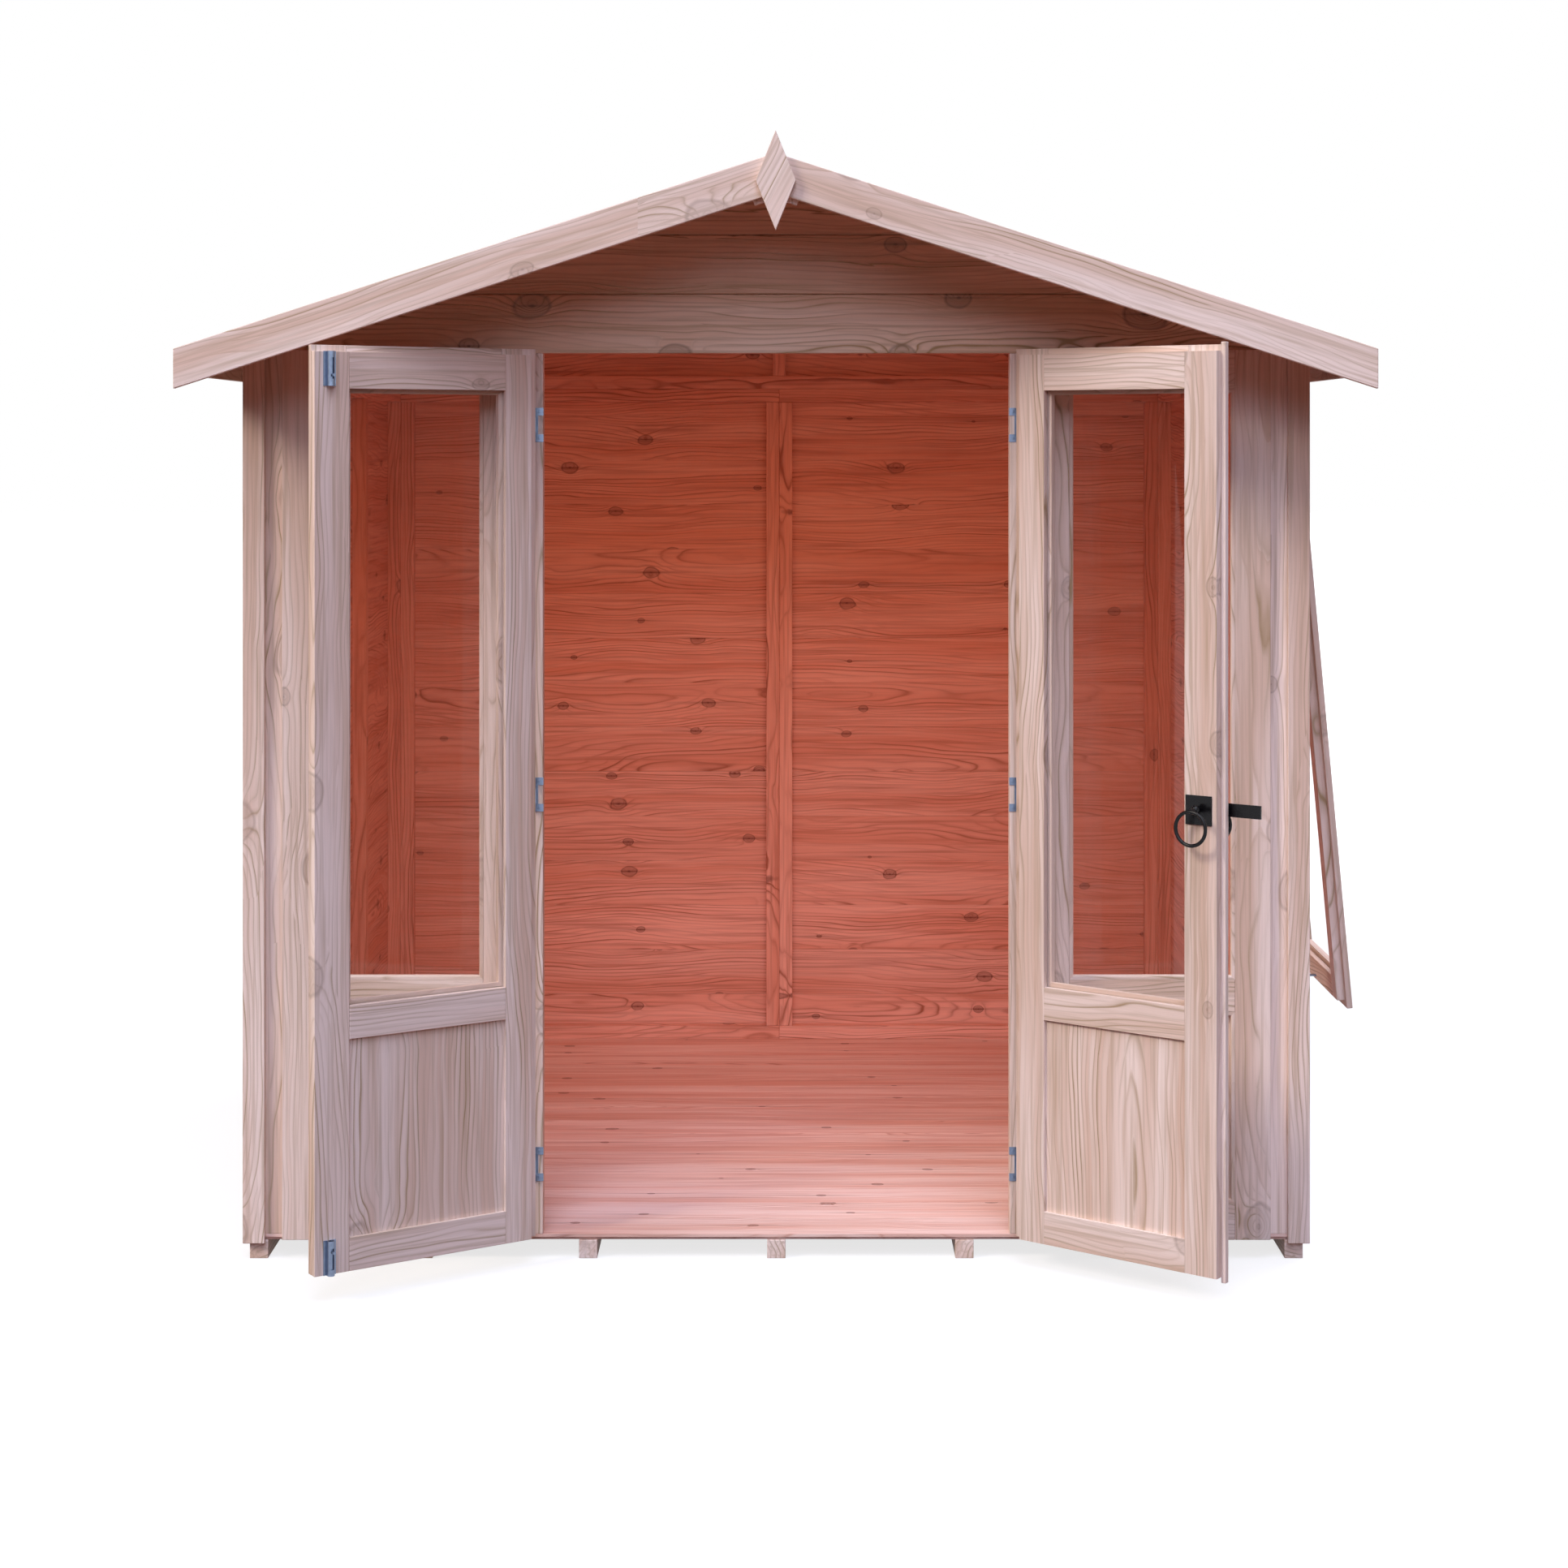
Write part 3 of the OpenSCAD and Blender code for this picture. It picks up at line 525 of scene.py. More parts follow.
    # Warmer sapwood runs along the board in streaks 20 to 60 mm wide, edged where a ring ends.
    tint_seed = add(tree, MATHS, {0: seed, 1: whole}, operation="SUBTRACT")
    tint = add(tree, "ShaderNodeTexWhiteNoise", {"W": tint_seed}, noise_dimensions="1D").outputs["Value"]
    tinted = add(tree, MATHS, {0: tint, 1: 0.16, 2: noises["band"]}, operation="MULTIPLY_ADD")
    streak = add(tree, RANGE, {0: tinted, 1: 0.46, 2: 0.74, 3: 0.0, 4: 0.8})

    # A knot has a dark rim and heart, and a tail where the branch's fibres run out along the board.
    inside = add(
        tree, RANGE, {0: reach, 1: 1.15, 2: 0.85, 3: 0.0, 4: knot_dark * 0.7},
        interpolation_type="SMOOTHSTEP",
    )
    from_rim = add(tree, MATHS, {0: reach, 1: 1.0}, operation="SUBTRACT")
    rim_off = add(tree, MATHS, {0: from_rim}, operation="ABSOLUTE")
    rim = add(tree, RANGE, {0: rim_off, 1: 0.20, 2: 0.03, 3: 0.0, 4: knot_dark + 0.1})
    core = add(tree, RANGE, {0: reach, 1: 0.40, 2: 0.08, 3: 0.0, 4: knot_dark * 1.4})
    edged = add(tree, MATHS, {0: rim, 1: core}, operation="MAXIMUM")
    body = add(tree, MATHS, {0: inside, 1: edged}, operation="MAXIMUM")
    tail_at = add(tree, VECTOR, {0: off_mm, 1: (-0.024, -0.45, 0.0)}, operation="MULTIPLY")
    tail_off = add(tree, VECTOR, {0: tail_at}, operation="LENGTH").outputs["Value"]
    thinning = add(tree, MATHS, {0: tail_off, 1: -1.3}, operation="MULTIPLY")
    tail = add(tree, MATHS, {0: thinning}, operation="EXPONENT")
    tailed = add(tree, MATHS, {0: tail, 1: knot_dark * 1.2, 2: body}, operation="MULTIPLY_ADD")
    limited = add(tree, MATHS, {0: tailed, 1: 0.95}, operation="MINIMUM")
    knot = add(tree, MATHS, {0: limited, 1: here}, operation="MULTIPLY")
    ground = add(tree, MIX, {0: streak, 6: early, 7: patch}, data_type="RGBA").outputs[2]
    lined = add(tree, MIX, {0: line, 6: ground, 7: late}, data_type="RGBA").outputs[2]
    knotted = add(tree, MIX, {0: knot, 6: lined, 7: heart}, data_type="RGBA").outputs[2]

    # Fibres show as faint streaks 1 to 2 mm wide, and late wood shines a little more than early wood.
    shades = add(tree, RANGE, {0: noises["fibre"], 1: 0.3, 2: 0.7, 3: 0.955, 4: 1.04})
    own_shade = add(tree, RANGE, {0: own_tone, 3: 0.955, 4: 1.03})
    value = add(tree, MATHS, {0: shades, 1: own_shade}, operation="MULTIPLY")
    coloured = add(tree, "ShaderNodeHueSaturation", {"Color": knotted, "Value": value})
    height = add(tree, MATHS, {0: line, 1: 0.7, 2: noises["fibre"]}, operation="MULTIPLY_ADD")
    bump = add(tree, "ShaderNodeBump", {"Height": height, "Strength": 0.3, "Distance": 0.5 * MM})
    sheen = add(tree, RANGE, {0: line, 3: 0.67, 4: 0.54})
    surface = add(tree, PRINCIPLED, {"Base Color": coloured, "Roughness": sheen, "Normal": bump, "IOR": 1.45})
    add(tree, "ShaderNodeOutputMaterial", {"Surface": surface})
    return finish


def zinc_finish():
    """Zinc-plated pressed steel. The bright passivated plating is bluish, with a fine cloudy spangle."""
    finish, tree = new_finish("zinc_plated_steel")
    place = add(tree, "ShaderNodeTexCoord").outputs["Object"]
    # Clouds are some 6 mm across.
    cloud = add(tree, NOISE, {"Vector": place, "Scale": 160.0, "Detail": 3.0})
    value = add(tree, RANGE, {0: cloud, 1: 0.3, 2: 0.7, 3: 0.88, 4: 1.08})
    coloured = add(tree, "ShaderNodeHueSaturation", {"Color": tuple(colours().zinc), "Value": value})
    rough = add(tree, RANGE, {0: cloud, 1: 0.3, 2: 0.7, 3: 0.30, 4: 0.46})
    bump = add(tree, "ShaderNodeBump", {"Height": cloud, "Strength": 0.15, "Distance": 0.2 * MM})
    metal = {"Base Color": coloured, "Metallic": 1.0, "Roughness": rough, "Normal": bump}
    add(tree, "ShaderNodeOutputMaterial", {"Surface": add(tree, PRINCIPLED, metal)})
    return finish


def japan_finish():
    """Black japanned iron, stoved over a hammered forging: near black, glossy on the ring, gently uneven."""
    finish, tree = new_finish("black_japanned_iron")
    place = add(tree, "ShaderNodeTexCoord").outputs["Object"]
    # Hammer marks are some 9 mm across.
    hammer = add(tree, NOISE, {"Vector": place, "Scale": 110.0, "Detail": 2.0})
    rough = add(tree, RANGE, {0: hammer, 1: 0.3, 2: 0.7, 3: 0.20, 4: 0.34})
    bump = add(tree, "ShaderNodeBump", {"Height": hammer, "Strength": 0.35, "Distance": 0.8 * MM})
    japan = {"Base Color": tuple(colours().japan), "Roughness": rough, "Normal": bump, "IOR": 1.3}
    add(tree, "ShaderNodeOutputMaterial", {"Surface": add(tree, PRINCIPLED, japan)})
    return finish


def felt_finish():
    """Mineral roofing felt: bitumen mat rolled in slate grit of 1 to 2 mm, drawn at 3 mm so that it shows."""
    finish, tree = new_finish("mineral_roofing_felt")
    place = add(tree, "ShaderNodeTexCoord").outputs["Object"]
    grit = add(tree, "ShaderNodeTexVoronoi", {"Vector": place, "Scale": 330.0})
    # The grit lies thicker and thinner in patches 200 mm wide.
    broad = add(tree, NOISE, {"Vector": place, "Scale": 5.0, "Detail": 4.0})
    grain = add(tree, "ShaderNodeSeparateColor", {0: grit.outputs["Color"]})
    fine = add(tree, RANGE, {0: grain.outputs["Red"], 3: 0.55, 4: 1.5})
    wide = add(tree, RANGE, {0: broad, 1: 0.3, 2: 0.7, 3: 0.85, 4: 1.15})
    value = add(tree, MATHS, {0: fine, 1: wide}, operation="MULTIPLY")
    coloured = add(tree, "ShaderNodeHueSaturation", {"Color": tuple(colours().felt), "Value": value})
    bump = add(tree, "ShaderNodeBump", {"Height": grit, "Strength": 0.6, "Distance": 1.2 * MM})
    mat = {"Base Color": coloured, "Roughness": 0.9, "Normal": bump, "IOR": 1.5}
    add(tree, "ShaderNodeOutputMaterial", {"Surface": add(tree, PRINCIPLED, mat)})
    return finish


def glass_finish():
    """Clear horticultural float glass, 3 mm. It is clean and seen nearly square on, so it hardly mirrors the
    room, and lamps shine straight through it.
    """
    finish, tree = new_finish("clear_float_glass")
    pane = {"Base Color": linear("#fdfcfb"), "Roughness": 0.0, "IOR": 1.5, "Transmission Weight": 1.0}
    glass = add(tree, PRINCIPLED, pane)
    clear = add(tree, "ShaderNodeBsdfTransparent", {"Color": linear("#fcfbfa")})
    rays = add(tree, "ShaderNodeLightPath").outputs
    # Lamplight goes straight through, and so does at least 0.96 of what is seen.
    lit = add(tree, MATHS, {0: rays["Is Shadow Ray"], 1: rays["Is Diffuse Ray"]}, operation="MAXIMUM")
    passing = add(tree, MATHS, {0: lit, 1: 0.96}, operation="MAXIMUM")
    both = add(tree, "ShaderNodeMixShader", {0: passing, 1: glass, 2: clear})
    add(tree, "ShaderNodeOutputMaterial", {"Surface": both})
    return finish


def finish_of(name):
    """The named finish, made when it is first asked for."""
    if name in bpy.data.materials:
        return bpy.data.materials[name]
    c = colours()
    makers = {
        "planed_pine_outside": lambda: planed_pine(
            name, (c.pine, c.pine_line, c.pine_patch, c.knot), contrast=1.2,
        ),
        # The front gable's pine has painted shade. Its early wood, grain, streak and knot heart are darkened
        # and warmed to match the shade and warm bounce under the roof's overhang.
        "planed_pine_gable": lambda: planed_pine(
            name, (c.gable, c.gable_painted_shade_line, linear("#d2a786"), linear("#5e4030")), knot_share=0.7,
            knot_dark=0.45, contrast=1.5,
        ),
        "planed_pine_room": lambda: planed_pine(
            name, (c.room, c.room_line, linear("#e39e84"), linear("#6e3424")), ring_mm=8.0,
            knot_share=0.8, knot_mm=12.0, knot_dark=0.55, contrast=1.5,
        ),
        "planed_pine_floor": lambda: planed_pine(
            name, (c.deck, c.deck_line, linear("#e3ab96"), linear("#7a4633")), ring_mm=7.0,
            knot_share=0.6, knot_mm=8.0, knot_dark=0.55, contrast=1.3,
        ),
        "zinc_plated_steel": zinc_finish,
        "black_japanned_iron": japan_finish,
        "mineral_roofing_felt": felt_finish,
        "clear_float_glass": glass_finish,
    }
    return makers[name]()


# ---------------------------------------------------------------- boards


SAWN_ARRIS = 0.3 * MM  # what is rubbed off a board's back edges
THINNEST = 2 * MM  # a last board narrower than this isn't fitted
FACING_IN = 0.6  # how much of a board face's normal points inward, if it is to get the room's finish


def shiplap_blank(run, thick, gap, arris):
    """One shiplap board lying along X, its weather face at y = 0 and its foot at z = 0.

    The tongue at the back of its head stands behind the next board, so no light gets through the joint.
    """
    b = boards()
    half = thick / 2
    head = b.cover - gap
    piece = block("shiplap_blank", (-run / 2, 0, 0), (run / 2, half, head))
    with shaping(piece):
        bpy.ops.mesh.select_all(action="SELECT")
        bpy.ops.mesh.bisect(plane_co=(0, 0, b.lap), plane_no=(0, 0, 1))
        choose(piece, "faces", lambda f: f.normal.y > SQUARE and middle(f).z > b.lap)
        bpy.ops.mesh.extrude_region_move(TRANSFORM_OT_translate={"value": (0, half, 0)})
        choose(piece, "faces", lambda f: f.normal.z > SQUARE and middle(f).y > half)
        bpy.ops.mesh.extrude_region_move(TRANSFORM_OT_translate={"value": (0, 0, gap + b.lap - SNUG)})
        for depth, width, facets in ((0, arris, 2), (thick, SAWN_ARRIS, 1)):
            choose(
                piece, "edges",
                lambda e: abs(e.verts[0].co.x - e.verts[1].co.x) > run / 2
                and all(abs(v.co.y - depth) < HAIR for v in e.verts),
            )
            bpy.ops.mesh.bevel(offset=width, segments=facets, profile=0.5)
    return piece


def shiplap(run, thick, foot, head, tight=False):
    """Shiplap boards from foot to head along X, the weather face at y = 0, the last one ripped to fit.

    tight boards are cramped up with hardly a joint, as floors and roofs are.
    """
    b = boards()
    gap, arris = (b.tight_gap, b.tight_arris) if tight else (b.outer_gap, b.board_arris)
    blank = shiplap_blank(run, thick, gap, arris)
    rows = []
    z = foot
    while z < head - THINNEST:
        rows.append(copy_at(blank, Matrix.Translation((0, 0, z))))
        z += b.cover
    scrap(blank)
    cut(rows[-1], (0, 0, head), UP)
    return rows


def facing(turn_degrees, at):
    """Where a wall drawn with its weather face at y = 0 stands after it is turned about the upright."""
    return Matrix.Translation(at) @ Matrix.Rotation(math.radians(turn_degrees), 4, "Z")


def boarded(name, rows, nodes, slot, finish, inward=None):
    """Joins boards into one piece that stands for its CAD nodes.

    Faces that look inward, if that is given, get the room's finish.
    """
    piece = joined(name, rows)
    lay_grain(piece)
    smoothed(piece)
    settle(piece, name, body_of(nodes[0]), slot, finish_of(finish), nodes)
    if inward is not None:
        piece.data.materials.append(finish_of("planed_pine_room"))
        for face in piece.data.polygons:
            if face.normal.dot(inward) > FACING_IN:
                face.material_index = 1


def wall_of_boards(node, turn, above=0.0, trims=(), finish="planed_pine_outside"):
    """Clads a wall or gable, which faces the front when turn is 0.

    Its boards run on above it by that much, and are then sawn along the trims, each a point and a normal.
    """
    low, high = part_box(node)
    outward = Vector([round(share) for share in facing(turn, (0, 0, 0)).to_3x3() @ -BACK])
    size = high - low
    thick = abs(size.dot(outward))
    at = (low + high) / 2 + outward * thick / 2
    at.z = 0
    kept = []
    for row in shiplap(size.x + size.y - thick, thick, low.z, high.z + above):
        row.data.transform(facing(turn, at))
        for point, normal in trims:
            cut(row, point, normal)
        if len(row.data.polygons):
            kept.append(row)
        else:
            scrap(row)
    boarded(node.replace("_boards", "_shiplap"), kept, [node], "outside_wood", finish, -outward)


# ---------------------------------------------------------------- beads round glass and panels


def mitred_bead(run, width, depth, moulding):
    """One bead along X, its back edge at z = 0 and its room face at y = depth, mitred at both ends."""
    piece = block("bead_blank", (-run / 2, 0, 0), (run / 2, depth, width))
    with shaping(piece):
        choose(
            piece, "edges",
            lambda e: all(v.co.y > depth - HAIR and v.co.z > width - HAIR for v in e.verts),
        )
        bpy.ops.mesh.bevel(offset=moulding, segments=4, profile=0.65)
    for side in (-1, 1):
        cut(piece, (side * run / 2, 0, 0), Vector((side, 0, 1)))
    return piece


def bead_frame(near, far, moulding, width):
    """Four mitred beads inside an opening that runs from near to far, the room face at far's y."""
    wide, tall = far.x - near.x - 2 * SNUG, far.z - near.z - 2 * SNUG
    centre = Vector(((near.x + far.x) / 2, near.y, (near.z + far.z) / 2))
    parts = []
    for run, reach, turn in ((wide, tall, 0), (tall, wide, 90), (wide, tall, 180), (tall, wide, 270)):
        bead = mitred_bead(run, width, far.y - near.y, moulding)
        place = (
            Matrix.Translation(centre)
            @ Matrix.Rotation(math.radians(turn), 4, "Y")
            @ Matrix.Translation((0, 0, -reach / 2))
        )
        bead.data.transform(place)
        parts.append(bead)
    return parts


def panes_of(node, holder):
    """The place of each pane or panel of a node.

    That is a matrix that stands it upright in the XZ plane with the room at +Y, its low and high corners
    there, and how far the timber that holds it reaches towards the room.
    """
    mesh = bmesh.new()
    mesh.from_mesh(frame["nodes"][node].data)
    bmesh.ops.remove_doubles(mesh, verts=mesh.verts, dist=MERGE)
    timber = [v.co for v in frame["nodes"][holder].data.vertices]
    found = []
    for faces in islands(mesh):
        through = max(faces, key=lambda f: round(f.calc_area(), 7)).normal.copy()
        pane = {v.co.copy().freeze() for f in faces for v in f.verts}
        middle_depth = sum(through.dot(p) for p in pane) / len(pane)
        depths = [through.dot(p) for p in timber]
        if max(depths) - middle_depth < middle_depth - min(depths):
            through = -through
        rise = (UP - through * through.z).normalized()
        across = through.cross(rise)
        stand = Matrix((across, through, rise)).to_4x4()
        held = [stand @ p for p in pane]
        low = Vector([min(p[i] for p in held) for i in range(3)])
        high = Vector([max(p[i] for p in held) for i in range(3)])
        found.append((stand, low, high, max((stand @ p).y for p in timber)))
    mesh.free()
    return found


GROOVE = 7.7 * MM  # what a pane or panel runs into its groove
PANEL_ARRIS = 0.5 * MM  # thin panels are eased less than framing


def beads_for(name, panes, holder):
    """Beads on the room side of each pane or panel, up to the face of the timber that holds it."""
    b = boards()
    parts = []
    for node in panes:
        for stand, low, high, reach in panes_of(node, holder):
            near = Vector((low.x + GROOVE, high.y + SNUG, low.z + GROOVE))
            far = Vector((high.x - GROOVE, reach, high.z - GROOVE))
            for bead in bead_frame(near, far, b.bead_chamfer, b.bead):
                bead.data.transform(stand.inverted())
                parts.append(bead)
    piece = joined(name, parts)
    lay_grain(piece)
    settle(piece, name, body_of(holder), "outside_wood", finish_of("planed_pine_outside"))


# ---------------------------------------------------------------- operators


class SUMMERHOUSE_OT_floor(bpy.types.Operator):
    """Lay the floor boards over their bearers"""

    bl_idname = "summerhouse.floor"
    bl_label = "Floor"

    def execute(self, context):
        low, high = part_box("floor_boards")
        rows = shiplap(high.x - low.x, high.z - low.z, low.y, high.y, tight=True)
        # The blank's height runs back along the floor and its weather face looks up.
        lie_down = Matrix(((1, 0, 0, 0), (0, 0, 1, 0), (0, -1, 0, high.z), (0, 0, 0, 1)))
        for row in rows:
            row.data.transform(lie_down)
        boarded("floor_planks", rows, ["floor_boards"], "floor_wood", "planed_pine_floor")
        timber_from("floor_bearers", arris=1.0 * MM)
        return {"FINISHED"}


class SUMMERHOUSE_OT_walls(bpy.types.Operator):
    """Clad the side and back walls with shiplap and dress their framing"""

    bl_idname = "summerhouse.walls"
    bl_label = "Walls"

    def execute(self, context):
        wall_of_boards("left_wall_boards", -90)
        self.right_wall()
        wall_of_boards("back_wall_boards", 180)
        for node in ("left_wall_frame", "right_wall_frame", "back_wall_frame", "eave_rails"):
            timber_from(node, inside=True)
        return {"FINISHED"}

    def right_wall(self):
        """Boards that run the wall's whole length below and above the window and stop at its sides."""
        nodes = ["right_wall_" + part + "_boards" for part in ("front", "low", "rear")]
        near, front_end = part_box(nodes[0])
        rear_start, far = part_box(nodes[2])
        sill, lintel = self.hole_heights()
        rows = shiplap(far.y - near.y, far.x - near.x, near.z, front_end.z)
        stand = facing(90, (far.x, (near.y + far.y) / 2, 0))
        kept = []
        for row in rows:
            row.data.transform(stand)
            foot, head = (pick(v.co.z for v in row.data.vertices) for pick in (min, max))
            if head <= sill or foot >= lintel:
                kept.append(row)
                continue
            sides = [[((0, front_end.y, 0), BACK)], [((0, rear_start.y, 0), -BACK)]]
            between = [((0, front_end.y, 0), -BACK), ((0, rear_start.y, 0), BACK)]
            for height, waste in ((sill, UP), (lintel, -UP)):
                if foot < height < head:
                    sides.append(between + [((0, 0, height), waste)])
            for saw_cuts in sides:
                length_of_board = copy_at(row, Matrix.Identity(4))
                for at, normal in saw_cuts:
                    cut(length_of_board, at, normal)
                kept.append(length_of_board)
            scrap(row)
        boarded("right_wall_shiplap", kept, nodes, "outside_wood", "planed_pine_outside", -ACROSS)

    def hole_heights(self):
        """Sill and lintel of the window hole, from the CAD boards below and above it."""
        heights = sorted({round(v.co.z, 4) for v in frame["nodes"]["right_wall_low_boards"].data.vertices})
        return heights[1], heights[2]


class SUMMERHOUSE_OT_gables(bpy.types.Operator):
    """Board the front and back gables up to the roof's slope"""

    bl_idname = "summerhouse.gables"
    bl_label = "Gables"

    def execute(self, context):
        slope = roof_pitch()
        # The front gable gets the pine with painted shade from the roof's overhang. The back gable gets the
        # plain outside pine.
        for end, turn, finish in (("front", 0, "planed_pine_gable"), ("back", 180, "planed_pine_outside")):
            boards_node = end + "_gable_boards"
            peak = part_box(boards_node)[1].z
            trims = [((0, 0, peak), (side * math.sin(slope), 0, math.cos(slope))) for side in (-1, 1)]
            wall_of_boards(boards_node, turn, above=20 * MM, trims=trims, finish=finish)
            timber_from(end + "_gable_frame", inside=True)
        return {"FINISHED"}


def section_at_eaves(node):
    """The corners of a roof node's section at its right eaves."""
    points = [v.co for v in frame["nodes"][node].data.vertices]
    edge = max(p.x for p in points)
    return [p for p in points if p.x > edge - MM]


def ridge_of(node):
    """A point on the ridge of a roof node."""
    return max((v.co for v in frame["nodes"][node].data.vertices), key=lambda p: p.z)


def roof_pitch():
    """The roof's slope in radians, from the felt's top line."""
    ridge = ridge_of("roof_felt")
    eave = max(section_at_eaves("roof_felt"), key=lambda p: p.z)
    return math.atan2(ridge.z - eave.z, eave.x - ridge.x)


class SUMMERHOUSE_OT_front(bpy.types.Operator):
    """Dress the front posts and the fixed side panels"""

    bl_idname = "summerhouse.front"
    bl_label = "Front"

    def execute(self, context):
        for node in ("front_posts", "corner_strips", "side_panel_frames"):
            timber_from(node)
        timber_from("side_panel_boards", arris=PANEL_ARRIS, along=UP)
        show_node("side_panel_glass", "clear_float_glass")
        beads_for("side_panel_beads", ["side_panel_glass", "side_panel_boards"], "side_panel_frames")
        return {"FINISHED"}


class SUMMERHOUSE_OT_roof(bpy.types.Operator):
    """Board and felt the roof, and dress its rails, barge boards, fascias and finials"""

    bl_idname = "summerhouse.roof"
    bl_label = "Roof"

    barge_arris = 1.6 * MM
    finial_grain = (0.48, 0, 0.88)  # the finials are sawn from a board that leans to the right

    def execute(self, context):
        timber_from("ridge_rails", inside=True)
        self.lay_boards()
        self.lay_felt()
        # The front's left barge board is two lengths, which butt nearly a quarter of the way down.
        seam = 0.229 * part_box("front_barge_boards")[0].x
        timber_from("front_barge_boards", arris=self.barge_arris, cuts=[((seam, 0, 0), ACROSS)])
        timber_from("back_barge_boards", arris=self.barge_arris)
        timber_from("barge_gussets")
        timber_from("eave_fascias")
        timber_from("finials", arris=1.2 * MM, along=self.finial_grain)
        return {"FINISHED"}

    def lay_boards(self):
        """Tongued boards from ridge to eaves on both slopes."""
        slope = roof_pitch()
        low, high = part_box("roof_boards")
        ridge = ridge_of("roof_boards")
        depths = [p.z for p in section_at_eaves("roof_boards")]
        thick = (max(depths) - min(depths)) * math.cos(slope)
        run = (high.x - abs(ridge.x)) / math.cos(slope)
        rows = shiplap(run, thick, low.y, high.y, tight=True)
        for row in rows:
            # The blank's height runs back along the roof, its weather face looks down into the room.
            row.data.transform(Matrix(((1, 0, 0, 0), (0, 0, 1, 0), (0, 1, 0, 0), (0, 0, 0, 1))))
            row.data.flip_normals()
        parts = []
        for side in (1, -1):
            place = (
                Matrix.Translation((side * abs(ridge.x), 0, ridge.z))
                @ Matrix.Rotation(side * slope, 4, "Y")
                @ Matrix.Translation((side * run / 2, 0, -thick))
            )
            parts += [copy_at(row, place) for row in rows]
        scrap(*rows)
        for part in parts:
            cut(part, (0, 0, low.z), -UP)
        boarded("roof_planks", parts, ["roof_boards"], "inside_wood", "planed_pine_room")

    def lay_felt(self):
        """Two overlapping lengths of felt on each slope and a cap along the ridge, in three layers."""
        slope = roof_pitch()
        low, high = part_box("roof_felt")
        run = high.x / math.cos(slope)
        thick = 0.65 * MM
        cap = 140 * MM
        # Where each sheet starts and ends down the slope. The upper one laps the lower by 0.08 of the run.
        sheets = [(run * 0.45, run), (0.0, run * 0.53), (0.0, cap)]
        parts = []
        for layer, (start, end) in enumerate(sheets):
            sheet = block("felt_sheet", (start, low.y, 0), (end, high.y, thick))
            with shaping(sheet):
                bpy.ops.mesh.select_all(action="SELECT")
                bpy.ops.mesh.subdivide(number_cuts=6)
            for side in (1, -1):
                flip = Matrix.Scale(side, 4, ACROSS)
                place = (
                    flip @ Matrix.Translation((0, 0, high.z)) @ Matrix.Rotation(slope, 4, "Y")
                    @ Matrix.Translation((0, 0, (layer - len(sheets)) * thick))
                )
                parts.append(copy_at(sheet, place))
            scrap(sheet)
        for part in parts:
            side = 1 if sum(v.co.x for v in part.data.vertices) > 0 else -1
            cut(part, (0, 0, 0), -ACROSS * side)
            cut(part, (side * high.x, 0, 0), ACROSS * side)
        piece = joined("roof_felt_sheets", parts)
        settle(
            piece, "roof_felt_sheets", body_of("roof_felt"), "roof_felt", finish_of("mineral_roofing_felt"),
            ["roof_felt"],
        )


class SUMMERHOUSE_OT_doors(bpy.types.Operator):
    """Dress both doors and bead their glass and panels"""

    bl_idname = "summerhouse.doors"
    bl_label = "Doors"

    def execute(self, context):
        for door in ("left_door", "right_door"):
            timber_from(door + "_frame")
            timber_from(door + "_panel", arris=PANEL_ARRIS, along=UP)
            show_node(door + "_glass", "clear_float_glass")
            beads_for(door + "_beads", [door + "_glass", door + "_panel"], door + "_frame")
        timber_from("meeting_strip")
        return {"FINISHED"}


class SUMMERHOUSE_OT_window(bpy.types.Operator):
    """Dress the top-hung sash and bead its glass"""

    bl_idname = "summerhouse.window"
    bl_label = "Side window"

    def execute(self, context):
        timber_from("window_sash")
        show_node("window_glass", "clear_float_glass")
        beads_for("window_beads", ["window_glass"], "window_sash")
        return {"FINISHED"}


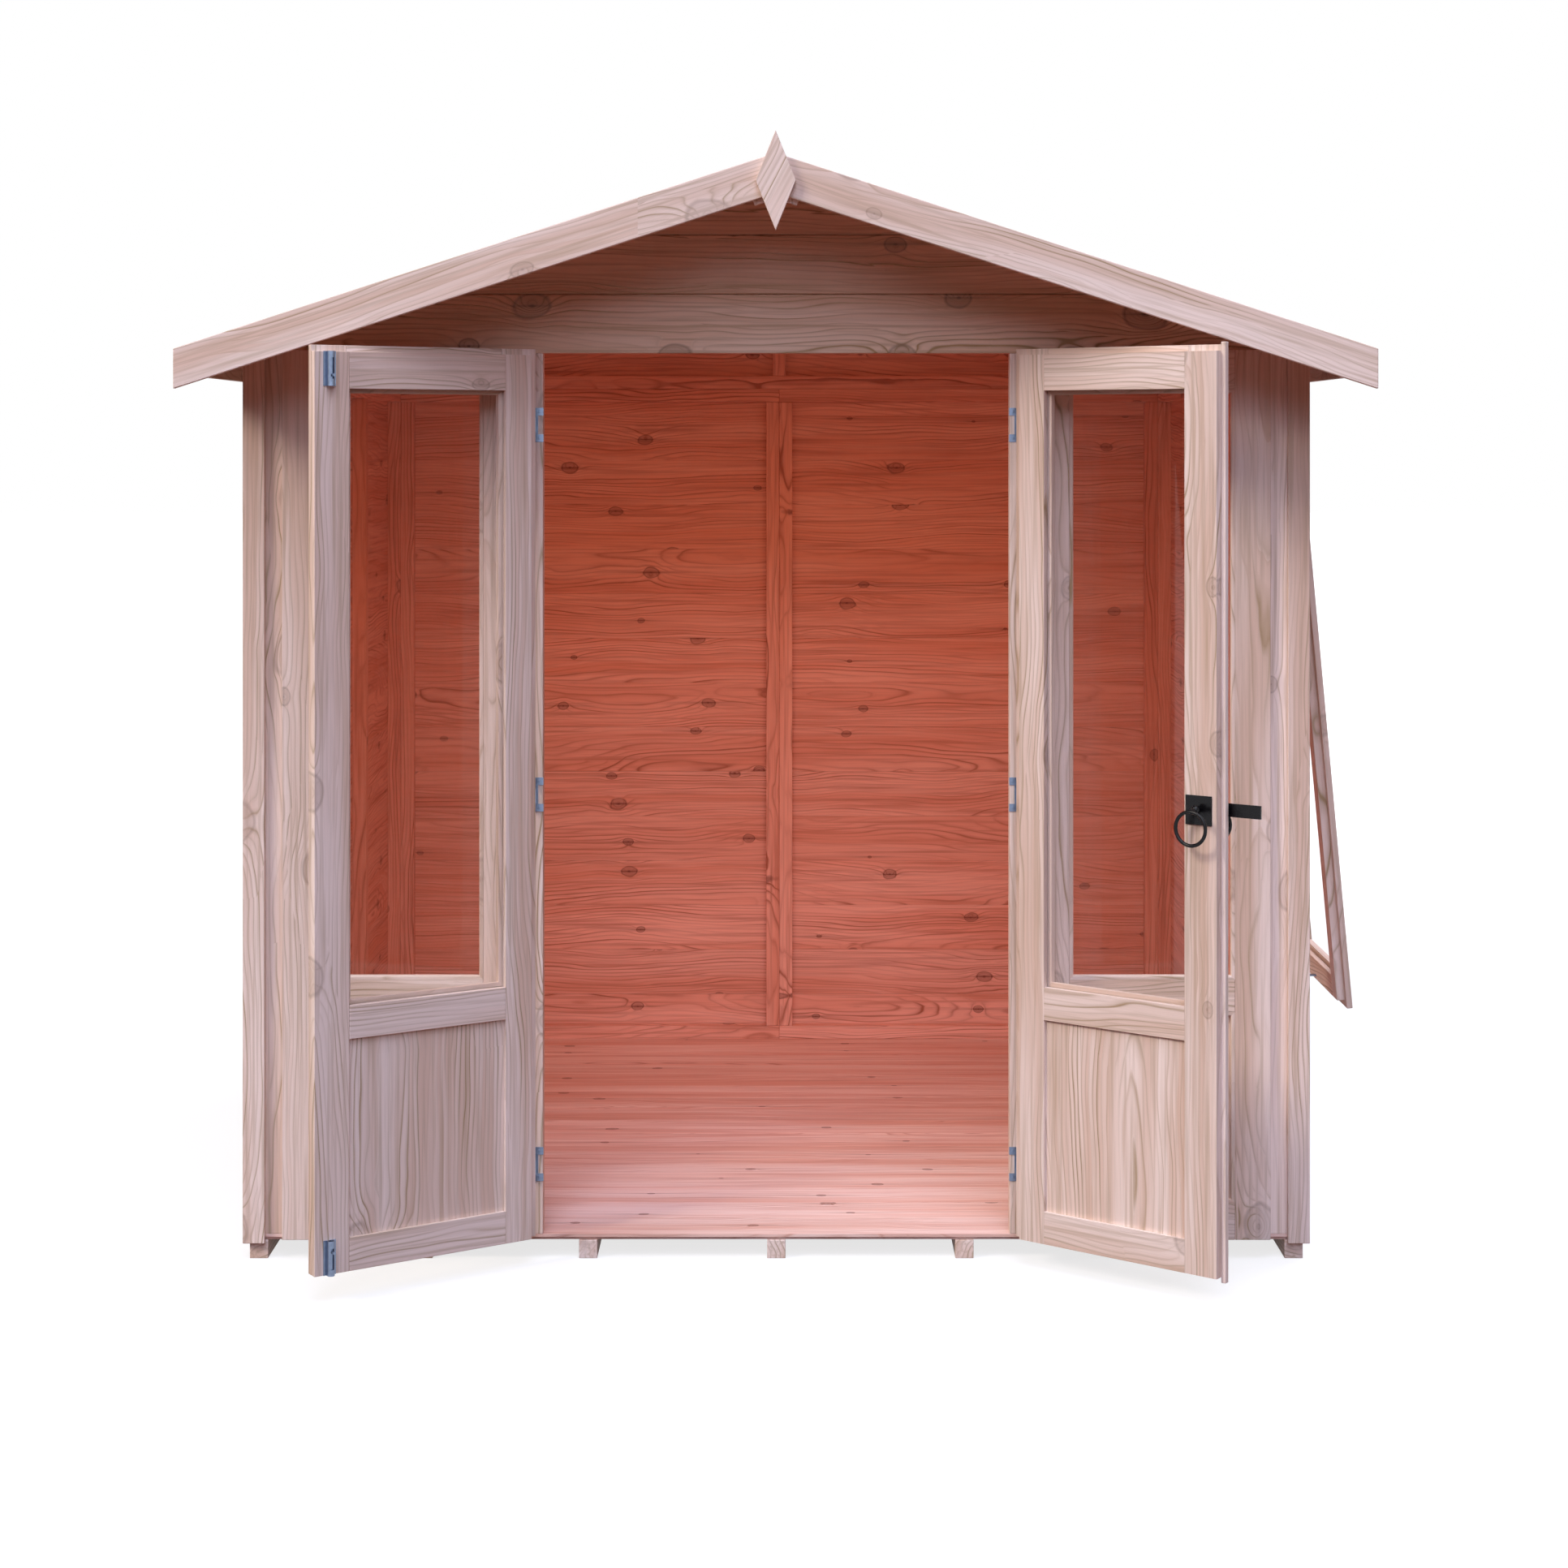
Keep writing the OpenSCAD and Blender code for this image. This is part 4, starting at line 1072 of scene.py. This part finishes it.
class SUMMERHOUSE_OT_ironmongery(bpy.types.Operator):
    """Finish the hinges, bolts, latch and stay and drive their screws"""

    bl_idname = "summerhouse.ironmongery"
    bl_label = "Ironmongery"

    def execute(self, context):
        for node in (
            "post_hinges", "left_door_hinges", "right_door_hinges", "bolt_plates", "top_bolt", "bottom_bolt",
            "window_hinges", "window_stay",
        ):
            show_node(node, "zinc_plated_steel")
        for node in ("latch_plates", "latch_bar", "latch_keep"):
            show_node(node, "black_japanned_iron")
        self.hinge_screws()
        for bolt in ("top_bolt", "bottom_bolt"):
            self.bolt_knob(bolt)
        return {"FINISHED"}

    def hinge_screws(self):
        """Two cross-headed screws in the pads of each hinge's post plate."""
        chance = random.Random("hinge screws")
        low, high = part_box("post_hinges")
        half = 33.5 * MM  # half a hinge's height
        pad = 7.5 * MM  # from a pad's edges to its middle
        plate = 1.2 * MM
        face_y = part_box("front_posts")[0].y - plate
        inner = min(abs(v.co.x) for v in frame["nodes"]["post_hinges"].data.vertices)
        blank = screw_head(radius=2.9 * MM, height=1.1 * MM)
        stand = Matrix.Rotation(math.pi / 2, 4, "X")
        heads = []
        for side in (-1, 1):
            for z in (low.z + half, (low.z + high.z) / 2, high.z - half):
                for up in (-1, 1):
                    spot = Matrix.Translation((side * (inner + pad), face_y, z + up * (half - pad)))
                    turn = Matrix.Rotation(chance.uniform(0, math.pi), 4, "Z")
                    heads.append(copy_at(blank, spot @ stand @ turn))
        scrap(blank)
        screws = joined("hinge_screws", heads)
        settle(screws, "hinge_screws", body_of("post_hinges"), "zinc_steel", finish_of("zinc_plated_steel"))

    def bolt_knob(self, bolt):
        """A turned knob on the end of a bolt's stem, which stands out from the door's room face."""
        points = [v.co for v in frame["nodes"][bolt].data.vertices]
        stand = panes_of("left_door_glass", "left_door_frame")[0][0]
        out = stand.inverted().to_3x3() @ BACK
        reach = max(out.dot(p) for p in points)
        tip = [p for p in points if out.dot(p) > reach - 0.1 * MM]
        end = sum(tip, Vector()) / len(tip)
        stem = 2.75 * MM
        deselect()
        bpy.ops.mesh.primitive_circle_add(vertices=24, radius=stem, fill_type="NGON")
        knob = bpy.context.active_object
        with shaping(knob):
            # Each step of the turning: how far it rises in mm, and how much wider it gets.
            for rise, grow in ((0.05, 1.35), (1.2, 1.25), (2.6, 1.0), (1.4, 0.8), (0.7, 0.5)):
                top = max(v.co.z for v in bmesh.from_edit_mesh(knob.data).verts)
                choose(knob, "faces", lambda f: f.normal.z > SQUARE and abs(middle(f).z - top) < HAIR)
                bpy.ops.mesh.extrude_region_move(TRANSFORM_OT_translate={"value": (0, 0, rise * MM)})
                bpy.ops.transform.resize(value=(grow, grow, 1), center_override=(0, 0, 0))
            bpy.ops.mesh.select_all(action="SELECT")
            bpy.ops.mesh.normals_make_consistent(inside=False)
        knob.data.transform(Matrix.Translation(end) @ out.to_track_quat("Z", "Y").to_matrix().to_4x4())
        smoothed(knob, crease=40)
        settle(knob, bolt + "_knob", body_of(bolt), "zinc_steel", finish_of("zinc_plated_steel"))


def screw_head(radius, height):
    """A pan head with a cross recess, seated at z = 0 and facing up."""
    deselect()
    bpy.ops.mesh.primitive_cylinder_add(vertices=24, radius=radius, depth=height, location=(0, 0, height / 2))
    head = bpy.context.active_object
    apply_place(head)
    with shaping(head):
        choose(head, "edges", lambda e: all(v.co.z > height * 0.9 for v in e.verts))
        bpy.ops.mesh.bevel(offset=height * 0.6, segments=3, profile=0.6)
    slot = radius * 0.55
    bar = radius * 0.12
    # One bar is a shade deeper and taller, so that no faces of the two coincide.
    cross = joined("cross", [
        block("slot_a", (-slot, -bar, height * 0.35), (slot, bar, height * 2)),
        block("slot_b", (-bar, -slot, height * 0.36), (bar, slot, height * 2.1)),
    ])
    make_active(head)
    recess = head.modifiers.new("recess", "BOOLEAN")
    recess.object = cross
    recess.operation = "DIFFERENCE"
    recess.solver = "EXACT"
    recess.use_self = True
    bpy.ops.object.modifier_apply(modifier=recess.name)
    scrap(cross)
    smoothed(head, crease=35)
    return head


def seen_directly(tree):
    """Gives 1 where the camera sees a thing, in the open or in glass, and 0 where it only lights others."""
    rays = add(tree, "ShaderNodeLightPath").outputs
    sharp = add(
        tree, MATHS, {0: rays["Is Glossy Ray"], 1: rays["Is Transmission Ray"]}, operation="MAXIMUM",
    )
    return add(tree, MATHS, {0: rays["Is Camera Ray"], 1: sharp}, operation="MAXIMUM")


class SUMMERHOUSE_OT_stage(bpy.types.Operator):
    """Set the pale studio floor, the soft lamps and the camera"""

    bl_idname = "summerhouse.stage"
    bl_label = "Studio"

    def execute(self, context):
        scene = context.scene
        scene.view_settings.view_transform = "Standard"
        self.camera(scene)
        self.lamps(scene)
        self.floor()
        return {"FINISHED"}

    def camera(self, scene):
        """Level, at eye height, 5.6 m before the posts. The lens is shifted down to keep uprights true."""
        lens = bpy.data.cameras.new("front_view")
        lens.sensor_width = 36.0
        lens.lens = 65.04
        lens.shift_x = -0.00285
        lens.shift_y = -0.2164
        lens.clip_end = 200.0
        camera = bpy.data.objects.new("front_view", lens)
        camera.location = (0.024, -6.525, 1.604)
        camera.rotation_euler = (math.radians(90), 0, 0)
        scene.collection.objects.link(camera)
        scene.camera = camera

    def lamps(self, scene):
        """A white room that shows but hardly lights, and four large soft lamps.

        The key stands above the left front, fills stand high overhead and in front, and one stands behind for
        the sides that the others miss.
        """
        world = bpy.data.worlds.new("white_room")
        world.use_nodes = True
        tree = world.node_tree
        tree.nodes.clear()
        room = add(tree, "ShaderNodeBackground", {"Color": linear("#e2e8ff"), "Strength": 0.02})
        white = add(tree, "ShaderNodeBackground", {"Color": linear("#ffffff"), "Strength": 1.0})
        mixed = add(tree, "ShaderNodeMixShader", {0: seen_directly(tree), 1: room, 2: white})
        add(tree, "ShaderNodeOutputWorld", {"Surface": mixed})
        scene.world = world
        aim = Vector((0, -0.9, 1.0))
        away = 50.0
        # Each lamp's turn from straight in front and its rise, in degrees, its width, watts and tint.
        for name, turn, rise, size, watts, tint in (
            ("key_lamp", 58, 37, 16.0, 15500.0, "#fff4e6"),
            ("top_lamp", -8, 65, 24.0, 14500.0, "#dfe5ff"),
            ("front_lamp", 0, 33, 34.0, 11500.0, "#dfe5ff"),
            ("back_lamp", -135, 36, 30.0, 20000.0, "#eef0ff"),
        ):
            light = bpy.data.lights.new(name, "AREA")
            light.size = size
            light.energy = watts
            light.color = linear(tint)[:3]
            lamp = bpy.data.objects.new(name, light)
            turn, rise = math.radians(turn), math.radians(rise)
            flat = away * math.cos(rise)
            lamp.location = aim + Vector((
                -flat * math.sin(turn), -flat * math.cos(turn), away * math.sin(rise),
            ))
            lamp.rotation_euler = (aim - lamp.location).to_track_quat("-Z", "Y").to_euler()
            scene.collection.objects.link(lamp)
        self.room_lamp(scene)

    def room_lamp(self, scene):
        """A weak strip behind the door head that lights the room, as a studio hides one in a deep set."""
        light = bpy.data.lights.new("room_lamp", "AREA")
        light.shape = "RECTANGLE"
        light.size, light.size_y = 1.6, 0.2
        light.spread = math.radians(105)
        light.energy = 5.5
        light.color = linear("#ffae84")[:3]
        lamp = bpy.data.objects.new("room_lamp", light)
        lamp.location = (0, -0.78, 1.80)
        lamp.rotation_euler = Vector((0, 1.0, -1.0)).to_track_quat("-Z", "Y").to_euler()
        lamp.visible_camera = False
        lamp.visible_glossy = False
        scene.collection.objects.link(lamp)

    def floor(self):
        """A pale floor that shows white but for the summerhouse's soft shadow.

        It throws little light back, and that is warm, so that undersides keep the timber's own colour.
        """
        deselect()
        bpy.ops.mesh.primitive_plane_add(size=120, location=(0, 0, -0.0005))
        ground = bpy.context.active_object
        ground.name = "studio_floor"
        apply_place(ground)
        finish, tree = new_finish("pale_studio_floor")
        spot = add(tree, "ShaderNodeTexCoord").outputs["Object"]
        away = add(tree, VECTOR, {0: spot}, operation="LENGTH").outputs["Value"]
        # Its glow rises from the building outward, and 5 m away it is white.
        white = add(tree, RANGE, {0: away, 1: 1.8, 2: 5.0, 3: 0.76, 4: 1.0}, interpolation_type="SMOOTHSTEP")
        matt = add(tree, "ShaderNodeBsdfDiffuse", {"Color": tuple(colours().floor)})
        warm = add(tree, "ShaderNodeBsdfDiffuse", {"Color": linear("#643527")})
        glow = add(tree, "ShaderNodeEmission", {"Color": linear("#ffffff"), "Strength": white})
        shown = add(tree, "ShaderNodeAddShader", {0: matt, 1: glow})
        both = add(tree, "ShaderNodeMixShader", {0: seen_directly(tree), 1: warm, 2: shown})
        add(tree, "ShaderNodeOutputMaterial", {"Surface": both})
        ground.data.materials.append(finish)


OPERATORS = (
    SUMMERHOUSE_OT_stage,
    SUMMERHOUSE_OT_floor,
    SUMMERHOUSE_OT_walls,
    SUMMERHOUSE_OT_gables,
    SUMMERHOUSE_OT_front,
    SUMMERHOUSE_OT_roof,
    SUMMERHOUSE_OT_doors,
    SUMMERHOUSE_OT_window,
    SUMMERHOUSE_OT_ironmongery,
)


class SUMMERHOUSE_PT_sidebar(bpy.types.Panel):
    """Sizes, colours and building steps of the summerhouse"""

    bl_idname = "SUMMERHOUSE_PT_sidebar"
    bl_label = "Summerhouse"
    bl_space_type = "VIEW_3D"
    bl_region_type = "UI"
    bl_category = "Summerhouse"

    def draw(self, context):
        layout = self.layout
        for settings in (context.scene.summerhouse_boards, context.scene.summerhouse_colours):
            column = layout.column(align=True)
            for name in settings.bl_rna.properties.keys():
                if name not in ("rna_type", "name"):
                    column.prop(settings, name)
        column = layout.column(align=True)
        for operator in OPERATORS:
            column.operator(operator.bl_idname)


CLASSES = (SummerhouseBoards, SummerhouseColours, *OPERATORS, SUMMERHOUSE_PT_sidebar)


def register():
    for cls in CLASSES:
        bpy.utils.register_class(cls)
    bpy.types.Scene.summerhouse_boards = bpy.props.PointerProperty(type=SummerhouseBoards)
    bpy.types.Scene.summerhouse_colours = bpy.props.PointerProperty(type=SummerhouseColours)


def unregister():
    del bpy.types.Scene.summerhouse_colours
    del bpy.types.Scene.summerhouse_boards
    for cls in reversed(CLASSES):
        bpy.utils.unregister_class(cls)


def main():
    register()
    bpy.ops.summerhouse.stage()
    bpy.ops.summerhouse.floor()
    bpy.ops.summerhouse.walls()
    bpy.ops.summerhouse.gables()
    bpy.ops.summerhouse.front()
    bpy.ops.summerhouse.roof()
    bpy.ops.summerhouse.doors()
    bpy.ops.summerhouse.window()
    bpy.ops.summerhouse.ironmongery()


if __name__ == "__main__":
    main()
